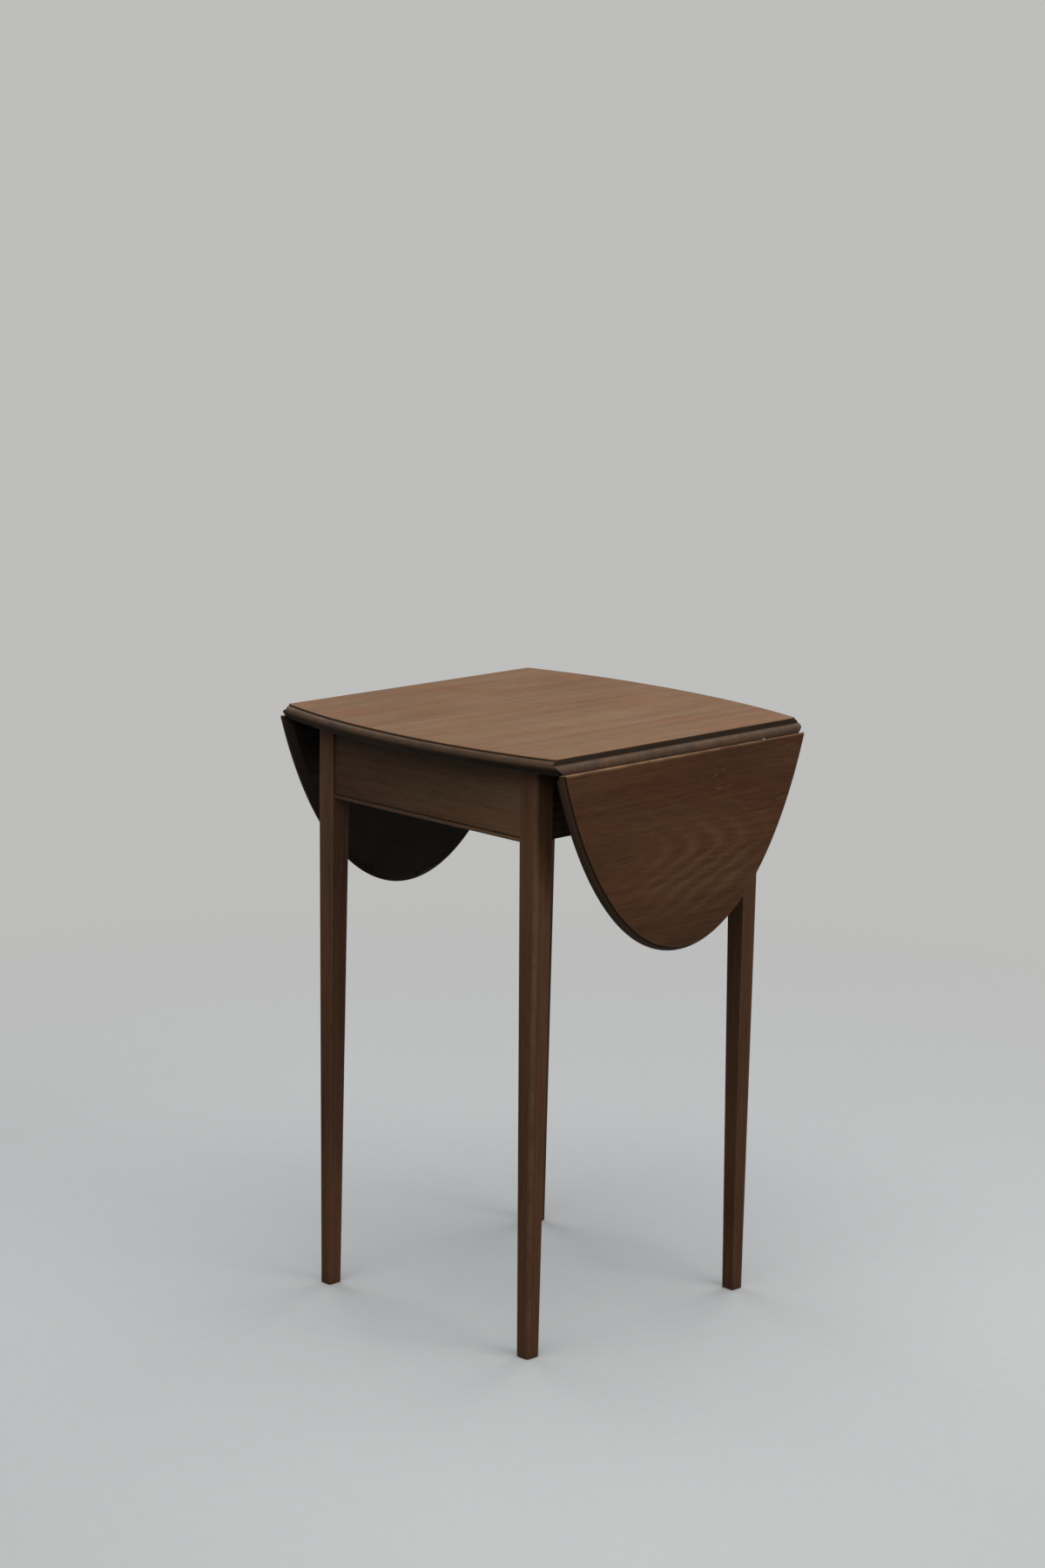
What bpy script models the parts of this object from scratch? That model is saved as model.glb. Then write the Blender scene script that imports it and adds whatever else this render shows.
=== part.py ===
"""Drop-leaf occasional table: an oval top in three boards on a frame with square tapered legs.

Metres, +Z up. The origin is on the floor under the middle of the top. The bowed ends face -Y and +Y. The leaves
hang at -X and +X on rule joints, and each has a swinging bracket that holds it up.
"""

from math import acos, asin, cos, pi, radians, sin

import bmesh
import bpy
from mathutils import Matrix, Vector

# Whole table
TABLE_HEIGHT = 0.700
SEAT_GAP = 0.0003  # left between pieces that touch
CUT_MARGIN = 0.001  # how far a cutter runs past the face it cuts
ROUND_SEGMENTS = 24
SMOOTH_ANGLE = radians(35)

# Top and leaves, one oval when the leaves are up
OVAL_LENGTH = 0.882
OVAL_WIDTH = 0.451
OVAL_SEGMENTS = 120
TOP_WIDTH = 0.440  # between the fillets of the two rule joints
BOARD_THICKNESS = 0.018

# Moulded edge of the oval, from the top surface down: fillet, round, flat, bevel under
EDGE_FILLET = 0.0025
EDGE_ROUND_OUT = 0.0055
EDGE_ROUND_DROP = 0.0070
EDGE_ROUND_STEPS = 6
EDGE_FLAT = 0.0008
EDGE_UNDER_BEVEL = 0.0075

# Rule joints
JOINT_FILLET = 0.0065
JOINT_CLEARANCE = 0.0008
JOINT_STEPS = 10
LEAF_HANG = radians(90)  # turn from level to hanging

# Leaf hinges
HINGE_END_DISTANCE = 0.1005  # from an end of the oval to the middle of a hinge
HINGE_WIDTH = 0.032
PLATE_LENGTH = 0.026
FLAP_LENGTH = 0.038
PLATE_THICKNESS = 0.0018
KNUCKLE_RADIUS = 0.0025
MIDDLE_KNUCKLE = 0.012
KNUCKLE_GAP = 0.0004
HINGE_PIN_RADIUS = 0.0012
PIN_CLEARANCE = 0.0001

# Screws
SCREW_HEAD_RADIUS = 0.0030
SCREW_HEAD_HEIGHT = 0.0015
SCREW_SHANK_RADIUS = 0.0014
SCREW_TIP = 0.0025
SCREW_SINK = 0.0002
SCREW_SLOT_WIDTH = 0.0008
SCREW_SLOT_DEPTH = 0.0006
SCREW_SEGMENTS = 12
PILOT_SPARE = 0.0005
HINGE_SCREW_LENGTH = 0.011
HINGE_SCREW_SPACING = 0.018
TOP_SCREW_BITE = 0.010

# Legs
SIDE_OVERHANG = 0.0395  # of the top past the legs, at the fillet of a rule joint
END_OVERHANG = 0.041  # of the top past the legs, at the middle of a bowed end
LEG_SIZE = 0.0258
FOOT_SIZE = 0.0175
FOOT_INSET = 0.0032  # taper of the outer faces
LEG_CORNER_ROUND = 0.004  # on the corner that faces out from the table
LEG_CORNER_STEPS = 4
LEG_ARRIS = 0.0008

# Rails
RAIL_DEPTH = 0.0862
END_RAIL_THICKNESS = 0.016
END_RAIL_SETBACK = 0.003
SIDE_RAIL_THICKNESS = 0.010
TENON_THICKNESS = 0.006
TENON_SHOULDER = 0.010
END_TENON_LENGTH = 0.014
TENON_WEB = 0.002  # wood between the two tenons that meet in a leg
BEAD_HEIGHT = 0.0045
BEAD_PROUD = 0.0018
BEAD_TONGUE = 0.004
BEAD_STEPS = 8

# Swinging brackets, one to a side
FLY_THICKNESS = 0.011
FLY_SETBACK = 0.003
FLY_LENGTH = 0.130
FLY_PIN_OFFSET = 0.012
FLY_TOP_GAP = 0.0005
FLY_TIP_DEPTH = 0.024
FLY_CURVE_LENGTH = 0.060
FLY_CURVE_STEPS = 16
FLY_FINGERS = 5
FLY_CLEARANCE = 0.0005
FLY_PIN_RADIUS = 0.0015

# Glue blocks that hold the top's screws
BLOCK_LENGTH = 0.045
BLOCK_DEPTH = 0.018
BLOCK_WIDTH = 0.017
BLOCK_LEG_GAP = 0.0322  # from a leg to the near end of a block

# Worked out from the sizes above
UNDERSIDE = TABLE_HEIGHT - BOARD_THICKNESS
PIN_HEIGHT = UNDERSIDE + KNUCKLE_RADIUS
JOINT_RADIUS = BOARD_THICKNESS - JOINT_FILLET - KNUCKLE_RADIUS
SURFACE = JOINT_FILLET + JOINT_RADIUS  # top surface over the hinge pin
HINGE_X = TOP_WIDTH / 2
LEG_X = HINGE_X - SIDE_OVERHANG
LEG_Y = OVAL_WIDTH / 2 - END_OVERHANG
LEG_INNER_X = LEG_X - LEG_SIZE
LEG_INNER_Y = LEG_Y - LEG_SIZE
RAIL_TOP = UNDERSIDE - SEAT_GAP
RAIL_BOTTOM = UNDERSIDE - RAIL_DEPTH
END_RAIL_FACE = LEG_Y - END_RAIL_SETBACK
END_RAIL_MIDDLE = END_RAIL_FACE - END_RAIL_THICKNESS / 2
END_RAIL_BACK = END_RAIL_FACE - END_RAIL_THICKNESS
FLY_X = LEG_X - FLY_SETBACK - FLY_THICKNESS / 2
SIDE_RAIL_FACE = FLY_X - FLY_THICKNESS / 2 - SEAT_GAP
SIDE_RAIL_MIDDLE = SIDE_RAIL_FACE - SIDE_RAIL_THICKNESS / 2
SIDE_TENON_END = END_RAIL_MIDDLE - TENON_THICKNESS / 2 - SEAT_GAP - TENON_WEB
FLY_TOP = UNDERSIDE - FLY_TOP_GAP
PLATE_SCREW_X = -(KNUCKLE_RADIUS + PLATE_LENGTH) / 2
FLAP_SCREW_X = (JOINT_RADIUS + JOINT_CLEARANCE + FLAP_LENGTH) / 2
TOP_SCREW_LENGTH = BLOCK_DEPTH + SEAT_GAP + TOP_SCREW_BITE
BLOCK_X = LEG_INNER_X - BLOCK_LEG_GAP - BLOCK_LENGTH / 2
BLOCK_Y = END_RAIL_BACK - SEAT_GAP - BLOCK_WIDTH / 2

# Turns an outline drawn in XY, with its thickness along Z, so that the thickness lies along X or Y
THICK_ALONG = {
    "X": Matrix(((0, 0, 1), (1, 0, 0), (0, 1, 0))).to_4x4(),
    "Y": Matrix(((1, 0, 0), (0, 0, -1), (0, 1, 0))).to_4x4(),
    "Z": Matrix.Identity(4),
}


def clear_scene():
    for obj in list(bpy.data.objects):
        bpy.data.objects.remove(obj, do_unlink=True)


def new_collection(name):
    collection = bpy.data.collections.new(name)
    bpy.context.scene.collection.children.link(collection)
    return collection


def new_material(name, colour, roughness, metallic=0.0):
    material = bpy.data.materials.new(name)
    material.use_nodes = True
    shader = material.node_tree.nodes["Principled BSDF"]
    shader.inputs["Base Color"].default_value = (*colour, 1.0)
    shader.inputs["Roughness"].default_value = roughness
    shader.inputs["Metallic"].default_value = metallic
    return material


clear_scene()
TABLE = new_collection("drop_leaf_table")
CUTTERS = new_collection("drop_leaf_table_cutters")
TOP_WOOD = new_material("top_mahogany", (0.254, 0.150, 0.089), 0.45)
LEAF_WOOD = new_material("leaf_mahogany", (0.205, 0.110, 0.066), 0.45)
FRAME_WOOD = new_material("frame_mahogany", (0.180, 0.100, 0.060), 0.50)
INNER_WOOD = new_material("inner_wood", (0.330, 0.210, 0.110), 0.70)
BRASS = new_material("hinge_brass", (0.520, 0.370, 0.150), 0.40, 1.0)
STEEL = new_material("screw_steel", (0.300, 0.290, 0.270), 0.45, 1.0)


# Meshes

def mesh_from(bm, name, smooth=False):
    bmesh.ops.recalc_face_normals(bm, faces=bm.faces)
    mesh = bpy.data.meshes.new(name)
    bm.to_mesh(mesh)
    bm.free()
    if smooth:
        mesh.shade_smooth()
        mesh.set_sharp_from_angle(angle=SMOOTH_ANGLE)
    return mesh


def box_mesh(name, low, high):
    bm = bmesh.new()
    bmesh.ops.create_cube(bm, size=1.0)
    bmesh.ops.scale(bm, vec=Vector(high) - Vector(low), verts=bm.verts)
    bmesh.ops.translate(bm, vec=(Vector(high) + Vector(low)) / 2, verts=bm.verts)
    return mesh_from(bm, name)


def rod_mesh(name, radius, low, high, along="Z", segments=ROUND_SEGMENTS):
    """A round bar on the origin's axis, from low to high, with a flat facet and not a corner on each main side."""
    bm = bmesh.new()
    bmesh.ops.create_cone(bm, cap_ends=True, segments=segments, radius1=radius, radius2=radius, depth=high - low)
    bmesh.ops.translate(bm, vec=(0, 0, (high + low) / 2), verts=bm.verts)
    half_facet = Matrix.Rotation(pi / segments, 4, "Z")
    bmesh.ops.transform(bm, matrix=THICK_ALONG[along].inverted() @ half_facet, verts=bm.verts)
    return mesh_from(bm, name, smooth=True)


def flat_mesh(name, outline, low, high, thick_along):
    """A flat outline given its thickness from low to high along one axis."""
    curve = bpy.data.curves.new(name, "CURVE")
    curve.dimensions = "2D"
    curve.fill_mode = "BOTH"
    curve.extrude = (high - low) / 2
    spline = curve.splines.new("POLY")
    spline.points.add(len(outline) - 1)
    for point, (across, up) in zip(spline.points, outline):
        point.co = (across, up, 0, 1)
    spline.use_cyclic_u = True
    guide = bpy.data.objects.new(name, curve)
    bpy.context.scene.collection.objects.link(guide)
    filled = bpy.data.meshes.new_from_object(guide.evaluated_get(bpy.context.evaluated_depsgraph_get()))
    bpy.data.objects.remove(guide)
    bpy.data.curves.remove(curve)
    bm = bmesh.new()
    bm.from_mesh(filled)
    bpy.data.meshes.remove(filled)
    bmesh.ops.remove_doubles(bm, verts=bm.verts, dist=1e-6)
    bmesh.ops.translate(bm, vec=(0, 0, (high + low) / 2), verts=bm.verts)
    bmesh.ops.transform(bm, matrix=THICK_ALONG[thick_along], verts=bm.verts)
    return mesh_from(bm, name, smooth=True)


def turned_mesh(name, profile):
    """A profile of (radius, height) points, top to bottom, turned about Z with a Screw modifier."""
    mesh = bpy.data.meshes.new(name)
    edges = [(i, i + 1) for i in range(len(profile) - 1)]
    mesh.from_pydata([(radius, 0, height) for radius, height in profile], edges, [])
    guide = bpy.data.objects.new(name, mesh)
    bpy.context.scene.collection.objects.link(guide)
    turn = guide.modifiers.new("turn", "SCREW")
    turn.steps = turn.render_steps = SCREW_SEGMENTS
    turn.use_merge_vertices = True
    turn.merge_threshold = 1e-5
    turned = bpy.data.meshes.new_from_object(guide.evaluated_get(bpy.context.evaluated_depsgraph_get()))
    bpy.data.objects.remove(guide)
    bpy.data.meshes.remove(mesh)
    bm = bmesh.new()
    bm.from_mesh(turned)
    bpy.data.meshes.remove(turned)
    bmesh.ops.remove_doubles(bm, verts=bm.verts, dist=1e-6)
    return mesh_from(bm, name, smooth=True)


# Objects

def place(obj, collection, parent, location, rotation):
    collection.objects.link(obj)
    obj.parent = parent
    obj.location = location
    obj.rotation_euler = rotation
    return obj


def part(name, mesh, material, parent=None, location=(0, 0, 0), rotation=(0, 0, 0)):
    mesh.materials.clear()
    mesh.materials.append(material)
    return place(bpy.data.objects.new(name, mesh), TABLE, parent, location, rotation)


def axis_empty(name, parent=None, location=(0, 0, 0), rotation=(0, 0, 0)):
    return place(bpy.data.objects.new(name, None), TABLE, parent, location, rotation)


def combine(obj, operation, mesh, location, rotation):
    """Adds a Boolean with a hidden helper that is placed in the object's own space."""
    helper = place(bpy.data.objects.new(f"{obj.name}_{mesh.name}", mesh), CUTTERS, obj, location, rotation)
    helper.hide_render = True
    helper.display_type = "WIRE"
    modifier = obj.modifiers.new(mesh.name, "BOOLEAN")
    modifier.operation = operation
    modifier.solver = "EXACT"
    modifier.object = helper


def cut(obj, mesh, location=(0, 0, 0), rotation=(0, 0, 0)):
    combine(obj, "DIFFERENCE", mesh, location, rotation)


def join(obj, mesh, location=(0, 0, 0), rotation=(0, 0, 0)):
    combine(obj, "UNION", mesh, location, rotation)


def ease_arrises(obj, width):
    bevel = obj.modifiers.new("arrises", "BEVEL")
    bevel.width = width
    bevel.segments = 2
    bevel.limit_method = "ANGLE"


# Screws: the head's flat is at the origin, facing +Z

def screw_mesh(name, length):
    return turned_mesh(name, [
        (0, 0),
        (SCREW_HEAD_RADIUS, 0),
        (SCREW_SHANK_RADIUS, -SCREW_HEAD_HEIGHT),
        (SCREW_SHANK_RADIUS, SCREW_TIP - length),
        (0, -length),
    ])


def screw_hole_mesh(name, depth):
    """Countersunk hole for a screw that is sunk a little under the face it goes into."""
    head = SCREW_HEAD_RADIUS + SEAT_GAP
    shank = SCREW_SHANK_RADIUS + SEAT_GAP
    return turned_mesh(name, [
        (0, CUT_MARGIN),
        (head, CUT_MARGIN),
        (head, 0),
        (shank, -SCREW_HEAD_HEIGHT),
        (shank, -depth),
        (0, -depth),
    ])


def add_screw(name, mesh, parent, location, rotation):
    screw = part(name, mesh, STEEL, parent, location, rotation)
    reach = SCREW_HEAD_RADIUS + CUT_MARGIN
    cut(screw, box_mesh(
        "slot",
        (-reach, -SCREW_SLOT_WIDTH / 2, -SCREW_SLOT_DEPTH),
        (reach, SCREW_SLOT_WIDTH / 2, CUT_MARGIN),
    ))


HEAD_DOWN = (pi, 0, 0)
HINGE_SCREW = screw_mesh("hinge_screw", HINGE_SCREW_LENGTH)
TOP_SCREW = screw_mesh("top_screw", TOP_SCREW_LENGTH - SCREW_SINK)
PLATE_HOLE = screw_hole_mesh("screw_hole", PLATE_THICKNESS + CUT_MARGIN)
HINGE_PILOT = rod_mesh(
    "pilot_hole",
    SCREW_SHANK_RADIUS + SEAT_GAP,
    -KNUCKLE_RADIUS,
    -KNUCKLE_RADIUS + SCREW_SINK + HINGE_SCREW_LENGTH + PILOT_SPARE,
    segments=SCREW_SEGMENTS,
)


# The oval boards: local height 0 is the hinge pins' axis

def edge_profile():
    """(outset from the top surface's outline, depth under the top surface) down the moulded edge."""
    round_foot = EDGE_FILLET + EDGE_ROUND_DROP
    points = [(0, 0)]
    for step in range(EDGE_ROUND_STEPS + 1):
        angle = pi / 2 * step / EDGE_ROUND_STEPS
        points.append((EDGE_ROUND_OUT * sin(angle), EDGE_FILLET + EDGE_ROUND_DROP * (1 - cos(angle))))
    points.append((EDGE_ROUND_OUT, round_foot + EDGE_FLAT))
    points.append((EDGE_ROUND_OUT - EDGE_UNDER_BEVEL, BOARD_THICKNESS))
    return points


def oval_board_mesh(name, middle_x):
    """The whole oval blank: rings of the edge profile bridged into one solid."""
    profile = edge_profile()
    bm = bmesh.new()
    rings = []
    for index, (outset, depth) in enumerate(profile):
        end = index in (0, len(profile) - 1)
        ring = bmesh.ops.create_circle(bm, cap_ends=end, segments=OVAL_SEGMENTS, radius=1.0)["verts"]
        size = Vector((OVAL_LENGTH / 2 + outset, OVAL_WIDTH / 2 + outset, 1))
        bmesh.ops.scale(bm, vec=size, verts=ring)
        bmesh.ops.translate(bm, vec=(middle_x, 0, SURFACE - depth), verts=ring)
        rings.append(list({edge for vert in ring for edge in vert.link_edges}))
    for upper, lower in zip(rings, rings[1:]):
        bmesh.ops.bridge_loops(bm, edges=upper + lower)
    return mesh_from(bm, name, smooth=True)


def arc(radius, start, end, steps):
    angles = [start + (end - start) * step / steps for step in range(steps + 1)]
    return [(radius * cos(angle), radius * sin(angle)) for angle in angles]


def past_top_edge_mesh():
    """What is cut from the blank beyond the top's fillet and ovolo; the pin is at the origin."""
    ovolo = arc(JOINT_RADIUS, pi / 2, -asin(KNUCKLE_RADIUS / JOINT_RADIUS), JOINT_STEPS)
    over = SURFACE + CUT_MARGIN
    under = -KNUCKLE_RADIUS - CUT_MARGIN
    outline = [(OVAL_LENGTH, under), (OVAL_LENGTH, over), (0, over), *ovolo, (ovolo[-1][0], under)]
    return flat_mesh("past_top_edge", outline, -OVAL_WIDTH, OVAL_WIDTH, "Y")


def before_leaf_edge_mesh():
    """What is cut from the blank before the leaf's fillet and cove; the pin is at the origin."""
    radius = JOINT_RADIUS + JOINT_CLEARANCE
    cove = arc(radius, acos(JOINT_CLEARANCE / radius), -asin(KNUCKLE_RADIUS / radius), JOINT_STEPS)
    over = SURFACE + CUT_MARGIN
    under = -KNUCKLE_RADIUS - CUT_MARGIN
    outline = [(-OVAL_LENGTH, under), (-OVAL_LENGTH, over), (JOINT_CLEARANCE, over), *cove, (cove[-1][0], under)]
    return flat_mesh("before_leaf_edge", outline, -OVAL_WIDTH, OVAL_WIDTH, "Y")


HINGE_YS = (HINGE_END_DISTANCE - OVAL_WIDTH / 2, OVAL_WIDTH / 2 - HINGE_END_DISTANCE)
HINGE_SCREW_YS = {"a": -HINGE_SCREW_SPACING / 2, "b": HINGE_SCREW_SPACING / 2}
RECESS_ROOF = -KNUCKLE_RADIUS + PLATE_THICKNESS + SEAT_GAP
RECESS_HALF = HINGE_WIDTH / 2 + SEAT_GAP


def centre_top():
    top = part("centre_top", oval_board_mesh("centre_top", 0), TOP_WOOD, location=(0, 0, PIN_HEIGHT))
    beyond = past_top_edge_mesh()
    recess = box_mesh(
        "hinge_recess",
        (-PLATE_LENGTH - SEAT_GAP, -RECESS_HALF, -KNUCKLE_RADIUS - CUT_MARGIN),
        (JOINT_RADIUS + CUT_MARGIN, RECESS_HALF, RECESS_ROOF),
    )
    groove = rod_mesh("knuckle_groove", KNUCKLE_RADIUS + KNUCKLE_GAP, -RECESS_HALF, RECESS_HALF, along="Y")
    for turn in (0, pi):
        side = Matrix.Rotation(turn, 4, "Z")
        cut(top, beyond, side @ Vector((HINGE_X, 0, 0)), (0, 0, turn))
        for y in HINGE_YS:
            pin = side @ Vector((HINGE_X, y, 0))
            cut(top, recess, pin, (0, 0, turn))
            cut(top, groove, pin, (0, 0, turn))
            for screw_y in HINGE_SCREW_YS.values():
                cut(top, HINGE_PILOT, side @ Vector((HINGE_X + PLATE_SCREW_X, y + screw_y, 0)))
    pilot = rod_mesh(
        "top_pilot",
        SCREW_SHANK_RADIUS + SEAT_GAP,
        -KNUCKLE_RADIUS - CUT_MARGIN,
        -KNUCKLE_RADIUS + TOP_SCREW_BITE + PILOT_SPARE,
        segments=SCREW_SEGMENTS,
    )
    for x in (-BLOCK_X, BLOCK_X):
        for y in (-BLOCK_Y, BLOCK_Y):
            cut(top, pilot, (x, y, 0))


def add_leaf(name, side):
    """Drawn level, with the pin's axis at the origin, then turned down to hang."""
    mesh = oval_board_mesh(name, -HINGE_X)
    leaf = part(name, mesh, LEAF_WOOD, side, (HINGE_X, 0, PIN_HEIGHT), (0, LEAF_HANG, 0))
    cut(leaf, before_leaf_edge_mesh())
    recess = box_mesh(
        "flap_recess",
        (0, -RECESS_HALF, -KNUCKLE_RADIUS - CUT_MARGIN),
        (FLAP_LENGTH + SEAT_GAP, RECESS_HALF, RECESS_ROOF),
    )
    for y in HINGE_YS:
        cut(leaf, recess, (0, y, 0))
        for screw_y in HINGE_SCREW_YS.values():
            cut(leaf, HINGE_PILOT, (FLAP_SCREW_X, y + screw_y, 0))
    return leaf


# Hinges: the pin's axis is at the origin, along Y

def hinge_plate(name, side, place_at):
    half = HINGE_WIDTH / 2
    plate = part(
        name,
        box_mesh(name, (-PLATE_LENGTH, -half, -KNUCKLE_RADIUS), (0, half, -KNUCKLE_RADIUS + PLATE_THICKNESS)),
        BRASS, side, place_at,
    )
    join(plate, rod_mesh("knuckles", KNUCKLE_RADIUS, -half, half, along="Y"))
    notch = MIDDLE_KNUCKLE / 2 + KNUCKLE_GAP
    reach = KNUCKLE_RADIUS + KNUCKLE_GAP
    cut(plate, box_mesh(
        "middle_notch",
        (-reach, -notch, -reach - CUT_MARGIN),
        (reach + CUT_MARGIN, notch, reach + CUT_MARGIN),
    ))
    bore_hinge(plate)
    for screw_y in HINGE_SCREW_YS.values():
        cut(plate, PLATE_HOLE, (PLATE_SCREW_X, screw_y, -KNUCKLE_RADIUS + SCREW_SINK), HEAD_DOWN)


def hinge_flap(name, leaf, place_at):
    half = HINGE_WIDTH / 2
    tongue = MIDDLE_KNUCKLE / 2 - KNUCKLE_GAP
    root = KNUCKLE_RADIUS + KNUCKLE_GAP
    outline = [
        (0, -tongue), (root, -tongue), (root, -half), (FLAP_LENGTH, -half),
        (FLAP_LENGTH, half), (root, half), (root, tongue), (0, tongue),
    ]
    mesh = flat_mesh(name, outline, -KNUCKLE_RADIUS, -KNUCKLE_RADIUS + PLATE_THICKNESS, "Z")
    flap = part(name, mesh, BRASS, leaf, place_at)
    join(flap, rod_mesh("knuckle", KNUCKLE_RADIUS, -MIDDLE_KNUCKLE / 2, MIDDLE_KNUCKLE / 2, along="Y"))
    bore_hinge(flap)
    for screw_y in HINGE_SCREW_YS.values():
        cut(flap, PLATE_HOLE, (FLAP_SCREW_X, screw_y, -KNUCKLE_RADIUS + SCREW_SINK), HEAD_DOWN)


def bore_hinge(obj):
    cut(obj, rod_mesh("pin_bore", HINGE_PIN_RADIUS + PIN_CLEARANCE, -HINGE_WIDTH, HINGE_WIDTH, along="Y"))


def add_hinge(name, side, leaf, y):
    hinge_plate(f"{name}_hinge_plate", side, (HINGE_X, y, PIN_HEIGHT))
    hinge_flap(f"{name}_hinge_flap", leaf, (0, y, 0))
    pin = rod_mesh("hinge_pin", HINGE_PIN_RADIUS, -HINGE_WIDTH / 2, HINGE_WIDTH / 2, along="Y")
    part(f"{name}_hinge_pin", pin, STEEL, side, (HINGE_X, y, PIN_HEIGHT))
    head = -KNUCKLE_RADIUS + SCREW_SINK
    for letter, screw_y in HINGE_SCREW_YS.items():
        plate_place = (HINGE_X + PLATE_SCREW_X, y + screw_y, PIN_HEIGHT + head)
        add_screw(f"{name}_plate_screw_{letter}", HINGE_SCREW, side, plate_place, HEAD_DOWN)
        flap_place = (FLAP_SCREW_X, y + screw_y, head)
        add_screw(f"{name}_flap_screw_{letter}", HINGE_SCREW, leaf, flap_place, HEAD_DOWN)


# Legs and rails

def add_leg(name, sign_x, sign_y):
    """Square at the rails, then tapered on all four faces, with its rounded outer corner over the origin."""
    bm = bmesh.new()
    bmesh.ops.create_cube(bm, size=1.0)
    bmesh.ops.scale(bm, vec=(LEG_SIZE, LEG_SIZE, RAIL_TOP), verts=bm.verts)
    middle = (-sign_x * LEG_SIZE / 2, -sign_y * LEG_SIZE / 2, RAIL_TOP / 2)
    bmesh.ops.translate(bm, vec=middle, verts=bm.verts)
    everything = bm.verts[:] + bm.edges[:] + bm.faces[:]
    bmesh.ops.bisect_plane(bm, geom=everything, plane_co=(0, 0, RAIL_BOTTOM), plane_no=(0, 0, 1))
    corner = [edge for edge in bm.edges if all(vert.co.xy.length < LEG_ARRIS for vert in edge.verts)]
    foot = [vert for vert in bm.verts if vert.co.z < RAIL_BOTTOM / 2]
    foot_middle = FOOT_INSET + FOOT_SIZE / 2
    bmesh.ops.translate(bm, vec=(-middle[0], -middle[1], 0), verts=foot)
    bmesh.ops.scale(bm, vec=(FOOT_SIZE / LEG_SIZE, FOOT_SIZE / LEG_SIZE, 1), verts=foot)
    bmesh.ops.translate(bm, vec=(-sign_x * foot_middle, -sign_y * foot_middle, 0), verts=foot)
    bmesh.ops.bevel(
        bm, geom=corner, offset=LEG_CORNER_ROUND, segments=LEG_CORNER_STEPS, profile=0.5, affect="EDGES",
    )
    leg = part(name, mesh_from(bm, name, smooth=True), FRAME_WOOD, location=(sign_x * LEG_X, sign_y * LEG_Y, 0))
    ease_arrises(leg, LEG_ARRIS)
    half = TENON_THICKNESS / 2 + SEAT_GAP
    low, high = RAIL_BOTTOM + TENON_SHOULDER - SEAT_GAP, RAIL_TOP - TENON_SHOULDER + SEAT_GAP
    rail_y = sign_y * END_RAIL_MIDDLE
    end_x = sorted((sign_x * (LEG_INNER_X - CUT_MARGIN), sign_x * (LEG_INNER_X + END_TENON_LENGTH + SEAT_GAP)))
    in_place = (-leg.location.x, -leg.location.y, 0)
    cut(leg, box_mesh("end_mortise", (end_x[0], rail_y - half, low), (end_x[1], rail_y + half, high)), in_place)
    rail_x = sign_x * SIDE_RAIL_MIDDLE
    side_y = sorted((sign_y * (LEG_INNER_Y - CUT_MARGIN), sign_y * (SIDE_TENON_END + SEAT_GAP)))
    cut(leg, box_mesh("side_mortise", (rail_x - half, side_y[0], low), (rail_x + half, side_y[1], high)), in_place)


def add_end_rail(name, turn):
    """Rail between two legs with a tenon at each end and a rabbet for its bead; drawn at -Y."""
    length = LEG_INNER_X - SEAT_GAP
    rail = part(
        name,
        box_mesh(name, (-length, -END_RAIL_FACE, RAIL_BOTTOM), (length, -END_RAIL_BACK, RAIL_TOP)),
        FRAME_WOOD, rotation=(0, 0, turn),
    )
    tenon = LEG_INNER_X + END_TENON_LENGTH
    half = TENON_THICKNESS / 2
    join(rail, box_mesh(
        "tenons",
        (-tenon, -END_RAIL_MIDDLE - half, RAIL_BOTTOM + TENON_SHOULDER),
        (tenon, -END_RAIL_MIDDLE + half, RAIL_TOP - TENON_SHOULDER),
    ))
    cut(rail, box_mesh(
        "bead_rabbet",
        (-length - CUT_MARGIN, -END_RAIL_FACE - CUT_MARGIN, RAIL_BOTTOM - CUT_MARGIN),
        (length + CUT_MARGIN, -END_RAIL_FACE + BEAD_TONGUE + SEAT_GAP, RAIL_BOTTOM + BEAD_HEIGHT + SEAT_GAP),
    ))


def add_bead(name, turn):
    """Half-round bead let into the bottom of the end rail; drawn at -Y."""
    back = -END_RAIL_FACE + BEAD_TONGUE
    outline = [(back, RAIL_BOTTOM + BEAD_HEIGHT), (back, RAIL_BOTTOM)]
    for step in range(BEAD_STEPS + 1):
        angle = pi * step / BEAD_STEPS
        nose = -END_RAIL_FACE - BEAD_PROUD * sin(angle)
        outline.append((nose, RAIL_BOTTOM + BEAD_HEIGHT * (1 - cos(angle)) / 2))
    length = LEG_INNER_X - SEAT_GAP
    part(name, flat_mesh(name, outline, -length, length, "X"), FRAME_WOOD, rotation=(0, 0, turn))


def add_side_rail(name, side):
    """Inner rail that carries the fixed half of the bracket's hinge."""
    length = LEG_INNER_Y - SEAT_GAP
    back = SIDE_RAIL_FACE - SIDE_RAIL_THICKNESS
    mesh = box_mesh(name, (back, -length, RAIL_BOTTOM), (SIDE_RAIL_FACE, length, RAIL_TOP))
    rail = part(name, mesh, INNER_WOOD, side)
    half = TENON_THICKNESS / 2
    join(rail, box_mesh(
        "tenons",
        (SIDE_RAIL_MIDDLE - half, -SIDE_TENON_END, RAIL_BOTTOM + TENON_SHOULDER),
        (SIDE_RAIL_MIDDLE + half, SIDE_TENON_END, RAIL_TOP - TENON_SHOULDER),
    ))


# Swinging brackets on a wooden knuckle hinge: the pin's axis is at the origin

FINGER = (FLY_TOP - RAIL_BOTTOM) / FLY_FINGERS
FLY_KNUCKLE_RADIUS = FLY_THICKNESS / 2 - SEAT_GAP


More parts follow.
